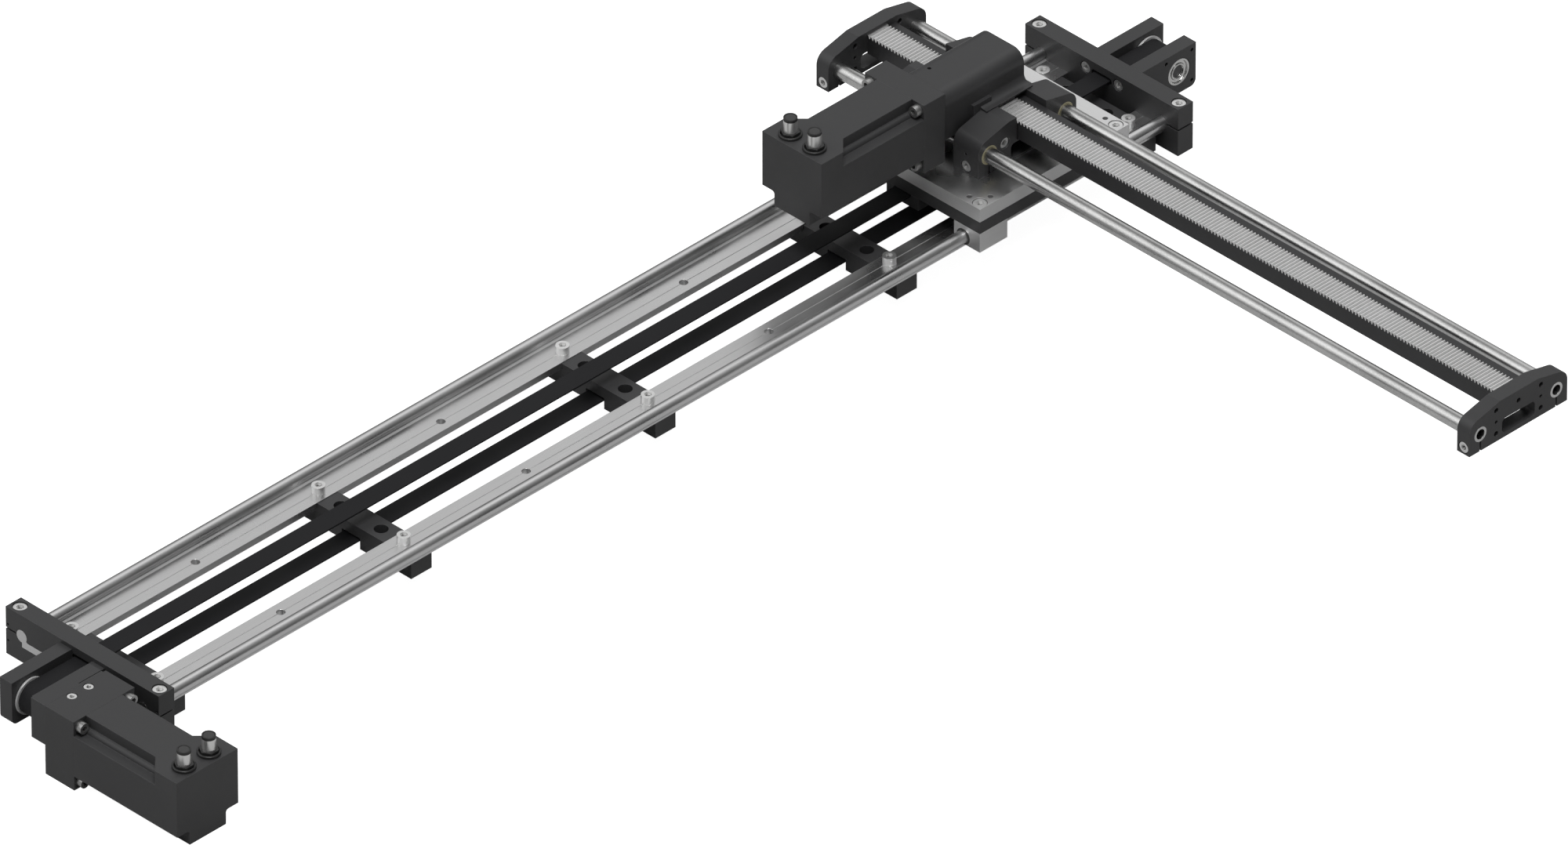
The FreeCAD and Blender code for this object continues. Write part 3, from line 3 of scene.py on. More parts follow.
import json
import logging
import math
from dataclasses import dataclass
from enum import Enum

import bpy
import numpy as np
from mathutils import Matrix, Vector

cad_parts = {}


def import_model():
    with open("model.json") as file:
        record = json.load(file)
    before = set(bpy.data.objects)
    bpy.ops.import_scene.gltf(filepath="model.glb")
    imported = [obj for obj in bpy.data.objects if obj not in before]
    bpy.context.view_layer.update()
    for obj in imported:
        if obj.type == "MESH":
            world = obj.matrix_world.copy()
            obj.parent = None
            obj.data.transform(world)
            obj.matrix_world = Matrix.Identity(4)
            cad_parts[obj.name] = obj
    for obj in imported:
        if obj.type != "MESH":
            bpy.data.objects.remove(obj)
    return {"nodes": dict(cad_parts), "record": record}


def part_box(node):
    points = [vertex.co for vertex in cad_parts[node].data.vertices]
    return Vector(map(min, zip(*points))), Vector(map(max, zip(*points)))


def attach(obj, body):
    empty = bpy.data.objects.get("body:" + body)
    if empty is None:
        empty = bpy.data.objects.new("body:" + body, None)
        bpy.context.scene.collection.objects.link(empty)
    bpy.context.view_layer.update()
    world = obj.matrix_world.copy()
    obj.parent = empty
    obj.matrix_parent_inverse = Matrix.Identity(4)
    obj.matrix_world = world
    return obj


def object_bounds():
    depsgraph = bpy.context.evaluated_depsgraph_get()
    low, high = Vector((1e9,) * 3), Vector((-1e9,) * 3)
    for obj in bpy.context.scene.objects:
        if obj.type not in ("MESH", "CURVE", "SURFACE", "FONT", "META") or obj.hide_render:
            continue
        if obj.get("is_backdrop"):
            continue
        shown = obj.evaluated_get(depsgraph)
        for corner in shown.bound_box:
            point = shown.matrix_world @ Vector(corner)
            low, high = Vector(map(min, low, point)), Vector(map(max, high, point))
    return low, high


MM = 0.001
log = logging.getLogger("gantry")

Colour = tuple[float, float, float]
Profile = tuple[tuple[float, float], ...]
Socket = bpy.types.NodeSocket
Surface = tuple[np.ndarray, list[list[int]]]

# The photo's width in pixels, and how many of them show one metre of the part.
PHOTO_WIDTH = 2000
PHOTO_PIXELS_PER_METRE = 1831
# The point that the middle of the picture shows.
PICTURE_MIDDLE = (0.0401, -0.1374, 0.0275)
# How far the floor lies under the part's lowest point.
FLOOR_DROP = 0.2 * MM

# How many finer layers the small marks and the slow changes of tone have.
FINE_DETAIL = 5.0
SLOW_DETAIL = 3.0
# Where most values of one noise, and of the sum of two, lie.
NOISE_RANGE = (0.35, 0.65)
NOISE_SUM_RANGE = (0.6, 1.4)
# Cosine between the plain and the softened normal where an edge's wear and painted highlight begin
# and where they are full.
EDGE_TURN = (0.97, 0.82)
# The range of the fine noise that breaks an edge's wear and painted highlight up, and the share of
# them left at its ends.
WEAR_AND_HIGHLIGHT_GRAIN = (0.3, 0.6)
WEAR_AND_HIGHLIGHT_LEFT = (0.35, 1.0)
# How bright the painted shade at the bottom of a hollow is, as a share of the open face.
HOLLOW_SHADE = 0.04
# A face counts as square to an axis from this share of its normal on.
SQUARE = 0.5
# Rays per point that look for an edge and for the walls of a hollow.
EDGE_SAMPLES = 4
HOLLOW_SAMPLES = 6
# A new piece's edges stay sharp from this angle on.
SHARP_FROM = math.radians(35)
# The Mix node's sockets: two numbers and their result, then two colours and theirs.
MIX_NUMBERS = (2, 3)
MIX_NUMBER_OUT = 0
MIX_COLOURS = (6, 7)
MIX_COLOUR_OUT = 2


class Grain(Enum):
    """Direction in which the fine marks of a surface run, as a stretch of its texture."""

    CAST = (1.0, 1.0, 1.0)
    ALONG_X = (0.02, 1.0, 1.0)
    ALONG_Y = (1.0, 0.02, 1.0)
    ALONG_Z = (1.0, 1.0, 0.02)
    GROUND_Y = (1.0, 0.3, 1.0)


class Graph:
    """Short names for building the node tree of one material or of the world."""

    def __init__(self, owner: bpy.types.Material | bpy.types.World) -> None:
        """Starts an empty tree.

        Args:
            owner: The material or the world that the tree belongs to.
        """
        owner.use_nodes = True
        self.tree = owner.node_tree
        self.tree.nodes.clear()

    def node(self, kind: str, **settings: object) -> bpy.types.Node:
        """Adds a node.

        Args:
            kind: The node's type name.
            settings: The node's properties to set.

        Returns:
            The new node.
        """
        made = self.tree.nodes.new(kind)
        for name, value in settings.items():
            setattr(made, name, value)
        return made

    def link(self, source: Socket, target: Socket) -> None:
        """Joins an output to an input."""
        self.tree.links.new(source, target)

    def feed(self, target: Socket, value: Socket | Colour | float) -> None:
        """Joins an output to an input, or sets the input to a plain number or colour.

        Args:
            target: The input socket.
            value: The output socket, number or colour.

        Returns:
            Nothing.
        """
        if isinstance(value, Socket):
            self.link(value, target)
        else:
            target.default_value = (*value, 1.0) if isinstance(value, tuple) else value

    def coordinates(self, feature: float, stretch: tuple[float, float, float]) -> Socket:
        """Object coordinates scaled so that one unit is one feature of the texture.

        Args:
            feature: Size of a feature in metres.
            stretch: Factor on each axis.

        Returns:
            The vector socket.
        """
        source = self.node("ShaderNodeTexCoord")
        scale = self.node("ShaderNodeMapping")
        scale.inputs["Scale"].default_value = tuple(factor / feature for factor in stretch)
        self.link(source.outputs["Object"], scale.inputs["Vector"])
        return scale.outputs["Vector"]

    def noise(self, vector: Socket, detail: float) -> Socket:
        """A noise value from 0 to 1.

        Args:
            vector: Where to read it.
            detail: How many finer layers it has.

        Returns:
            The value socket.
        """
        made = self.node("ShaderNodeTexNoise")
        made.inputs["Scale"].default_value = 1.0
        made.inputs["Detail"].default_value = detail
        self.link(vector, made.inputs["Vector"])
        return made.outputs["Fac"]

    def spread(
        self, value: Socket, source: tuple[float, float], target: tuple[float, float] = (0.0, 1.0)
    ) -> Socket:
        """Maps one range of values to another, clamped.

        Args:
            value: The value.
            source: The range it comes in.
            target: The range it leaves in.

        Returns:
            The mapped value.
        """
        made = self.node("ShaderNodeMapRange")
        for name, number in zip(("From Min", "From Max", "To Min", "To Max"), (*source, *target)):
            made.inputs[name].default_value = number
        self.link(value, made.inputs["Value"])
        return made.outputs["Result"]

    def math(self, operation: str, first: Socket, second: Socket | float = 0.0) -> Socket:
        """One arithmetic step.

        Args:
            operation: The operation's name.
            first: The first value.
            second: The second value, a socket or a number, where the operation takes one.

        Returns:
            The result.
        """
        made = self.node("ShaderNodeMath", operation=operation)
        self.link(first, made.inputs[0])
        self.feed(made.inputs[1], second)
        return made.outputs[0]

    def blend(self, factor: Socket, low: Socket | Colour, high: Socket | Colour) -> Socket:
        """A colour between two others.

        Args:
            factor: 0 for the first colour and 1 for the second.
            low: The first colour.
            high: The second colour.

        Returns:
            The colour socket.
        """
        made = self.node("ShaderNodeMix", data_type="RGBA")
        self.link(factor, made.inputs["Factor"])
        for number, colour in zip(MIX_COLOURS, (low, high)):
            self.feed(made.inputs[number], colour)
        return made.outputs[MIX_COLOUR_OUT]

    def between(self, factor: Socket, low: Socket | float, high: Socket | float) -> Socket:
        """A number between two others.

        Args:
            factor: 0 for the first number and 1 for the second.
            low: The first number, a socket or a plain number.
            high: The second number, likewise.

        Returns:
            The number's socket.
        """
        made = self.node("ShaderNodeMix", data_type="FLOAT")
        self.link(factor, made.inputs["Factor"])
        for number, level in zip(MIX_NUMBERS, (low, high)):
            self.feed(made.inputs[number], level)
        return made.outputs[MIX_NUMBER_OUT]

    def curve(self, value: Socket, source: tuple[float, float], stops: Profile) -> Socket:
        """Reads a value off a smooth curve.

        Args:
            value: The value.
            source: The range it comes in, which the stops' first and last places stand for.
            stops: The curve's places, rising, and its level at each, from 0 to 1.

        Returns:
            The level's socket.
        """
        made = self.node("ShaderNodeValToRGB")
        ramp = made.color_ramp
        ramp.interpolation = "EASE"
        first, last = stops[0][0], stops[-1][0]
        for place, _ in stops[1:-1]:
            ramp.elements.new((place - first) / (last - first))
        for element, (_, level) in zip(ramp.elements, stops):
            element.color = (level, level, level, 1.0)
        self.link(self.spread(value, source), made.inputs["Fac"])
        return made.outputs["Color"]

    def height(self) -> Socket:
        """How high the point lies over the frame's origin.

        Returns:
            The height in metres.
        """
        source = self.node("ShaderNodeTexCoord")
        parts = self.node("ShaderNodeSeparateXYZ")
        self.link(source.outputs["Object"], parts.inputs["Vector"])
        return parts.outputs["Z"]

    def facing(self, axis: str) -> Socket:
        """How squarely the face looks along an axis, either way.

        Args:
            axis: X, Y or Z.

        Returns:
            1 for a face square to the axis and 0 for one along it.
        """
        source = self.node("ShaderNodeNewGeometry")
        parts = self.node("ShaderNodeSeparateXYZ")
        self.link(source.outputs["True Normal"], parts.inputs["Vector"])
        return self.math("ABSOLUTE", parts.outputs[axis])


def shade(colour: Colour, factor: float) -> Colour:
    """The colour made lighter or darker, never above 1."""
    return tuple(min(1.0, part * factor) for part in colour)


@dataclass(frozen=True)
class Look:
    """Colour and gloss of a marked area of a finish."""

    colour: Colour
    metallic: float
    roughness: float


@dataclass(frozen=True)
class Finish:
    """One real surface finish and the numbers that make its material.

    Lengths are in metres: grain is the size of the fine marks, relief their height, blotch the
    size of the slow colour changes, edge the radius of softened edges, and hollow the reach within
    which walls make a socket or a gap go dark with painted shade, or 0 for none. open_from and
    open_to are the shares of open sky at which a hollow's painted shade is full and gone. tone and
    unevenness say how far the colour and the roughness change from place to place, and wear how
    many times lighter the edges are painted, for wear and for a painted highlight along the edge.
    """

    name: str
    colour: Colour
    metallic: float
    roughness: float
    direction: Grain = Grain.CAST
    grain: float = 0.8 * MM
    relief: float = 0.01 * MM
    tone: float = 0.08
    blotch: float = 60 * MM
    unevenness: float = 0.06
    edge: float = 0.35 * MM
    wear: float = 1.6
    specular: float = 0.5
    second: Look | None = None
    hollow: float = 0.0
    open_from: float = 0.3
    open_to: float = 0.75

    def build(self) -> bpy.types.Material:
        """Makes the material.

        Returns:
            A material with grain, slow colour changes, softened edges painted lighter for wear and
            as a highlight, and painted shade in its hollows where hollow is set.
        """
        material = bpy.data.materials.new(self.name)
        graph = Graph(material)
        fine = graph.noise(graph.coordinates(self.grain, self.direction.value), FINE_DETAIL)
        slow = graph.noise(graph.coordinates(self.blotch, Grain.CAST.value), SLOW_DETAIL)
        rounded = graph.node("ShaderNodeBevel", samples=EDGE_SAMPLES)
        rounded.inputs["Radius"].default_value = self.edge
        change = graph.spread(graph.math("ADD", fine, slow), NOISE_SUM_RANGE)
        plain = self.toned(graph, change, self.colour)
        # Edges painted lighter, partly for wear and partly as a painted highlight.
        worn = self.edge_mask(graph, rounded, fine)
        colour = graph.blend(worn, plain, shade(self.colour, self.wear))
        bump = graph.node("ShaderNodeBump")
        bump.inputs["Strength"].default_value = 1.0
        bump.inputs["Distance"].default_value = self.relief
        graph.link(fine, bump.inputs["Height"])
        graph.link(rounded.outputs["Normal"], bump.inputs["Normal"])
        surface = graph.node("ShaderNodeBsdfPrincipled")
        surface.inputs["Metallic"].default_value = self.metallic
        surface.inputs["Specular IOR Level"].default_value = self.specular
        gloss_range = (self.roughness - self.unevenness, self.roughness + self.unevenness)
        rough = graph.spread(slow, NOISE_RANGE, gloss_range)
        if self.second:
            mask = self.mask(graph)
            colour = graph.blend(mask, colour, self.toned(graph, change, self.second.colour))
            rough = graph.between(mask, rough, self.second.roughness)
            metal = graph.between(mask, self.metallic, self.second.metallic)
            graph.link(metal, surface.inputs["Metallic"])
        # Painted shade: the colour goes dark deep in sockets, holes and gaps.
        if self.hollow:
            colour = graph.blend(self.open_sky(graph), shade(self.colour, HOLLOW_SHADE), colour)
        graph.link(colour, surface.inputs["Base Color"])
        graph.link(rough, surface.inputs["Roughness"])
        graph.link(bump.outputs["Normal"], surface.inputs["Normal"])
        output = graph.node("ShaderNodeOutputMaterial")
        graph.link(surface.outputs["BSDF"], output.inputs["Surface"])
        return material

    def edge_mask(self, graph: Graph, rounded: bpy.types.Node, fine: Socket) -> Socket:
        """Where the surface turns over an edge, broken up by the grain, for the lighter colour that
        stands for wear and a painted highlight.

        Args:
            graph: The material's graph.
            rounded: The node that softens the edges.
            fine: The fine noise.

        Returns:
            0 on a flat face and up to 1 on an edge.
        """
        flat = graph.node("ShaderNodeNewGeometry")
        turn = graph.node("ShaderNodeVectorMath", operation="DOT_PRODUCT")
        graph.link(flat.outputs["Normal"], turn.inputs[0])
        graph.link(rounded.outputs["Normal"], turn.inputs[1])
        edge = graph.spread(turn.outputs["Value"], EDGE_TURN)
        return graph.math("MULTIPLY", edge, graph.spread(fine, WEAR_AND_HIGHLIGHT_GRAIN, WEAR_AND_HIGHLIGHT_LEFT))

    def open_sky(self, graph: Graph) -> Socket:
        """How open the point lies, for the painted shade that makes sockets go dark.

        Args:
            graph: The material's graph.

        Returns:
            0 deep in a socket and 1 on an open face.
        """
        cover = graph.node("ShaderNodeAmbientOcclusion", samples=HOLLOW_SAMPLES, only_local=True)
        cover.inputs["Distance"].default_value = self.hollow
        return graph.spread(cover.outputs["AO"], (self.open_from, self.open_to))

    def toned(self, graph: Graph, change: Socket, colour: Colour) -> Socket:
        """A colour in its tones, from the darkest where the change is 0 to the lightest at 1."""
        return graph.blend(change, shade(colour, 1.0 - self.tone), shade(colour, 1.0 + self.tone))

    def mask(self, graph: Graph) -> Socket:
        """0 for the first look and 1 for the second; a finish that has two says it here."""
        raise NotImplementedError(self.name)


@dataclass(frozen=True)
class RackFinish(Finish):
    """Black bar whose teeth are cut through the black layer to bright metal."""

    tooth_root: float = 82.3 * MM
    tooth_tip: float = 84.6 * MM
    gap_painted_shade: float = 0.5

    def mask(self, graph: Graph) -> Socket:
        """Bright metal above the tooth roots but not on the bar's long sides, with a painted
        highlight on the tips and painted shade in the gaps.

        Args:
            graph: The material's graph.

        Returns:
            0 on the black layer and up to 1 on the tooth tips.
        """
        height = graph.height()
        above = graph.math("GREATER_THAN", height, self.tooth_root)
        # Painted highlight on the tooth tips, fading to painted shade in the gaps.
        tip_highlight_gap_shade = graph.spread(height, (self.tooth_root, self.tooth_tip), (self.gap_painted_shade, 1.0))
        cut_face = graph.math("LESS_THAN", graph.facing("X"), SQUARE)
        return graph.math("MULTIPLY", graph.math("MULTIPLY", above, tip_highlight_gap_shade), cut_face)


@dataclass(frozen=True)
class PlateFinish(Finish):
    """Plate with a polished top and duller sawn sides."""

    def mask(self, graph: Graph) -> Socket:
        """0 on the plate's flat top and 1 on its sides and in its holes."""
        return graph.math("LESS_THAN", graph.facing("Z"), SQUARE)


@dataclass(frozen=True)
class ConnectorFinish(Finish):
    """Nickel shell with a black band round its open end.

    tops holds how high the connectors of the lower and of the upper motor reach.
    """

    tops: tuple[float, float] = (63.05 * MM, 138.15 * MM)
    band: float = 2.3 * MM

    def mask(self, graph: Graph) -> Socket:
        """The band under the top of the lower and of the upper motor's connectors.

        Args:
            graph: The material's graph.

        Returns:
            0 on the nickel and 1 on the black band.
        """
        height = graph.height()
        lower, upper = (graph.math("GREATER_THAN", height, top - self.band) for top in self.tops)
        past = graph.math("GREATER_THAN", height, self.tops[0] + self.band)
        return graph.math("MAXIMUM", graph.math("SUBTRACT", lower, past), upper)


BLACK = (0.030, 0.030, 0.031)
FINISHES = (
    Finish(
        "black_anodised_aluminium", BLACK, metallic=0.0, roughness=0.46,
        grain=0.35 * MM, relief=0.012 * MM, wear=3.2,
    ),
    Finish(
        "motor_black_coat", BLACK, metallic=0.0, roughness=0.5,
        grain=0.7 * MM, relief=0.03 * MM, edge=0.8 * MM, wear=2.0,
    ),
    Finish(
        "rail_anodised_aluminium", (0.67, 0.67, 0.67), metallic=1.0, roughness=0.3,
        direction=Grain.ALONG_X, grain=0.5 * MM, relief=0.006 * MM, tone=0.07,
    ),
    # Painted shade in the plate's holes through hollow.
    PlateFinish(
        "polished_aluminium", (0.84, 0.84, 0.84), metallic=1.0, roughness=0.33,
        direction=Grain.ALONG_Y, grain=0.5 * MM, relief=0.003 * MM, tone=0.05,
        edge=0.3 * MM, wear=1.2, second=Look((0.68, 0.68, 0.68), metallic=0.9, roughness=0.5),
        hollow=1.5 * MM, open_from=0.6, open_to=0.97,
    ),
    Finish(
        "clear_anodised_aluminium", (0.66, 0.66, 0.66), metallic=0.88, roughness=0.46,
        direction=Grain.ALONG_X, grain=0.5 * MM, relief=0.008 * MM, wear=1.3,
    ),
    # Painted shade in the screws' sockets through hollow.
    Finish(
        "screw_steel", (0.84, 0.84, 0.835), metallic=0.95, roughness=0.38,
        grain=0.3 * MM, relief=0.003 * MM, tone=0.1, edge=0.15 * MM, wear=1.15, hollow=1.6 * MM,
    ),
    # Screw steel darkened by painted shade, for screws in the shade of their motor's flange.
    Finish(
        "screw_steel_painted_shade", (0.42, 0.42, 0.415), metallic=0.95, roughness=0.34,
        grain=0.3 * MM, relief=0.003 * MM, tone=0.1, edge=0.15 * MM, hollow=1.6 * MM,
    ),
    Finish(
        "bearing_steel", (0.72, 0.72, 0.71), metallic=1.0, roughness=0.25,
        grain=0.5 * MM, relief=0.004 * MM, edge=0.2 * MM, wear=1.2,
    ),
    Finish(
        "dark_shaft_steel", (0.09, 0.09, 0.09), metallic=1.0, roughness=0.32,
        direction=Grain.ALONG_Y, grain=0.4 * MM, wear=2.0,
    ),
    Finish(
        "ground_shaft_steel", (0.61, 0.61, 0.605), metallic=1.0, roughness=0.27,
        direction=Grain.GROUND_Y, grain=0.55 * MM, relief=0.006 * MM, tone=0.3,
        unevenness=0.04, wear=1.1,
    ),
    Finish("pulley_aluminium", (0.7, 0.7, 0.7), metallic=0.55, roughness=0.35, wear=1.3),
    Finish(
        "gear_steel", (0.46, 0.46, 0.45), metallic=1.0, roughness=0.3,
        direction=Grain.ALONG_X, wear=1.4,
    ),
    # The bar's black is darker than the other black parts: painted shade for its ledge, which lies
    # in shade beside the teeth.
    RackFinish(
        "rack_bar", (0.019, 0.019, 0.02), metallic=0.0, roughness=0.45,
        direction=Grain.ALONG_X, grain=0.4 * MM, edge=0.08 * MM, wear=1.3,
        second=Look((0.95, 0.95, 0.94), metallic=1.0, roughness=0.36),
    ),
    Finish(
        "belt_polyurethane", (0.010, 0.010, 0.011), metallic=0.0, roughness=0.55,
        direction=Grain.ALONG_X, grain=0.6 * MM, relief=0.02 * MM, edge=0.2 * MM, wear=1.3,
        specular=0.17,
    ),
    Finish("liner_polymer", (0.05, 0.05, 0.048), metallic=0.0, roughness=0.55, wear=1.2),
    Finish(
        "bush_polymer", (0.34, 0.31, 0.19), metallic=0.0, roughness=0.4,
        tone=0.12, edge=0.3 * MM, wear=2.4,
    ),
    ConnectorFinish(
        "connector_nickel", (0.84, 0.84, 0.83), metallic=0.9, roughness=0.34,
        direction=Grain.ALONG_Z, grain=0.3 * MM, relief=0.0005 * MM, tone=0.06,
        edge=0.3 * MM, wear=1.2, second=Look((0.018, 0.018, 0.018), metallic=0.0, roughness=0.5),
    ),
    Finish(
        "black_nut", (0.016, 0.016, 0.016), metallic=0.0, roughness=0.42,
        edge=0.4 * MM, wear=1.8,
    ),
    Finish(
        "cap_polymer", (0.034, 0.034, 0.034), metallic=0.0, roughness=0.5,
        grain=0.3 * MM, relief=0.02 * MM, edge=0.15 * MM,
    ),
)

# The nodes whose finish isn't their slot's own: the motors' flange screws get screw steel darkened
# with painted shade, as they stand in the shade of the flange.
OWN_FINISHES = {
    "base_motor_flange_screws": "screw_steel_painted_shade",
    "carriage_motor_flange_screws": "screw_steel_painted_shade",
}


class Wardrobe:
    """The finishes by name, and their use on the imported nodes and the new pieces."""

    def __init__(self) -> None:
        """Makes the material of every finish."""
        self.materials = {finish.name: finish.build() for finish in FINISHES}

    def dress(self, nodes: dict[str, bpy.types.Object], slots: dict[str, str]) -> dict[str, str]:
        """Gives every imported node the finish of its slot, or its own finish where it has one.

        Args:
            nodes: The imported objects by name.
            slots: The slot's name by node.

        Returns:
            The finish's name by node.
        """
        worn = {name: OWN_FINISHES.get(name, slots[name]) for name in nodes}
        for name, finish in worn.items():
            nodes[name].data.materials.clear()
            nodes[name].data.materials.append(self.materials[finish])
        return worn

    def wear(self, piece: bpy.types.Object, finish: str, slot: str) -> bpy.types.Object:
        """Gives a new piece a finish.

        Args:
            piece: The new piece.
            finish: The finish's name.
            slot: The record's slot; not used.

        Returns:
            The same piece.
        """
        piece.data.materials.append(self.materials[finish])
        return piece


def turned(outline: np.ndarray, segments: int, ring: bool = True) -> Surface:
    """Turns an outline about the Z axis.

    A point of the outline with radius r and height z gives the points r cos a, r sin a and z, for
    an angle a that goes once round in equal steps.

    Args:
        outline: Radius and height of each point, in the order that goes up on the outer side.
        segments: Steps round the axis.
        ring: True for a closed outline. An open one gets a flat cap on its first and last circle.

    Returns:
        The vertices and the faces.
    """
    angle = np.linspace(0.0, 2.0 * math.pi, segments, endpoint=False)
    circle = np.stack([np.cos(angle), np.sin(angle)], axis=1)
    count = len(outline)
    vertices = np.empty((count, segments, 3))
    vertices[:, :, :2] = outline[:, None, :1] * circle[None]
    vertices[:, :, 2] = outline[:, 1:2]
    spans = np.arange(count if ring else count - 1)
    level, step = np.meshgrid(spans, np.arange(segments), indexing="ij")
    after = (step + 1) % segments
    here = level * segments
    above = (level + 1) % count * segments
    corners = [here + step, here + after, above + after, above + step]
    faces = np.stack(corners, axis=-1).reshape(-1, 4).tolist()
    if not ring:
        lower_cap = np.arange(segments)[::-1]
        upper_cap = np.arange(segments) + (count - 1) * segments
        faces += [lower_cap.tolist(), upper_cap.tolist()]
    return vertices.reshape(-1, 3), faces


def along_y(points: np.ndarray, side: float) -> np.ndarray:
    """Lays a piece made about the Z axis along the Y axis.

    A point x, y, z goes to x times the side, z times the side, and minus y.

    Args:
        points: Its points.
        side: 1 for a piece that grows towards +Y and -1 for one towards -Y.

    Returns:
        The turned points, with their faces still seen from outside.
    """
    return np.stack([points[:, 0] * side, points[:, 2] * side, -points[:, 1]], axis=1)


def joined(parts: list[Surface]) -> Surface:
    """Several surfaces as one, each with its faces counted on from the points before it.

    Args:
        parts: The vertices and faces of each.

    Returns:
        All vertices and all faces.
    """
    vertices = np.concatenate([points for points, _ in parts])
    faces = []
    start = 0
    for points, own in parts:
        faces.extend([index + start for index in face] for face in own)
        start += len(points)
    return vertices, faces


def solid(name: str, surface: Surface, body: str) -> bpy.types.Object:
    """Makes a smooth-shaded object that rides on a body.

    Args:
        name: The piece's name.
        surface: Its vertices and faces in the shared frame.
        body: The body it moves with.

    Returns:
        The new object.
    """
    mesh = bpy.data.meshes.new(name)
    mesh.from_pydata(surface[0].tolist(), [], surface[1])
    mesh.shade_smooth()
    mesh.set_sharp_from_angle(angle=SHARP_FROM)
    piece = bpy.data.objects.new(name, mesh)
    bpy.context.scene.collection.objects.link(piece)
    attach(piece, body)
    return piece


@dataclass
class MotorConnectors:
    """The caps in the ends of one motor's two round connectors, and the collars at their feet.

    wall is the shell's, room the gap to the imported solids, depth how far down a cap reaches, and
    sunk how far its face lies under the shell's rim.
    """

    prefix: str
    body: str
    wall: float = 1.0 * MM
    room: float = 0.03 * MM
    depth: float = 5.8 * MM
    sunk: float = 0.15 * MM
    chamfer: float = 0.25 * MM
    collar_radius: float = 8.66 * MM
    collar_bore: float = 7.35 * MM
    collar_high: float = 2.2 * MM
    collar_chamfer: float = 0.5 * MM
    segments: int = 64

    def shells(self) -> tuple[float, list[Vector]]:
        """Radius and top centres of the two shells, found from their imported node.

        Returns:
            The radius and one point for each shell.
        """
        low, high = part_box(f"{self.prefix}_connectors")
        size = high - low
        along = 0 if size.x > size.y else 1
        radius = min(size.x, size.y) / 2
        first = Vector(((low.x + high.x) / 2, (low.y + high.y) / 2, high.z))
        second = first.copy()
        first[along] = low[along] + radius
        second[along] = high[along] - radius
        return radius, [first, second]

    def collar(self) -> Surface:
        """The ring that stands on the connector's nut, chamfered round its top.

        Returns:
            The vertices and the faces.
        """
        outline = np.array([
            [self.collar_bore, self.room],
            [self.collar_radius, self.room],
            [self.collar_radius, self.collar_high - self.collar_chamfer],
            [self.collar_radius - self.collar_chamfer, self.collar_high],
            [self.collar_bore, self.collar_high],
        ])
        return turned(outline, self.segments)

    def cap(self, radius: float) -> Surface:
        """The disc that fills the shell's end, chamfered round its face.

        Args:
            radius: The shell's outer radius.

        Returns:
            The vertices and the faces.
        """
        reach = radius - self.wall - self.room
        outline = np.array([
            [reach, -self.depth],
            [reach, -self.sunk - self.chamfer],
            [reach - self.chamfer, -self.sunk],
        ])
        return turned(outline, self.segments, ring=False)

    def pair(self, part: str, surface: Surface, places: list[Vector]) -> bpy.types.Object:
        """Sets a surface on both connectors, as one piece.

        Args:
            part: The last word of the piece's name.
            surface: The vertices and faces of one.
            places: Where each of the two goes.

        Returns:
            The new object.
        """
        points, faces = surface
        both = joined([(points + np.array(place), faces) for place in places])
        return solid(f"{self.prefix}_connector_{part}", both, self.body)

    def build(self, wardrobe: Wardrobe) -> list[bpy.types.Object]:
        """Makes the caps and collars of both connectors.

        Args:
            wardrobe: The finishes.

        Returns:
            The new pieces.
        """
        radius, tops = self.shells()
        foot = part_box(f"{self.prefix}_connector_nuts")[0].z
        feet = [Vector((top.x, top.y, foot)) for top in tops]
        collars = self.pair("collars", self.collar(), feet)
        wardrobe.wear(collars, "black_nut", "black_nut")
        caps = self.pair("caps", self.cap(radius), tops)
        wardrobe.wear(caps, "cap_polymer", "black_nut")
        return [collars, caps]


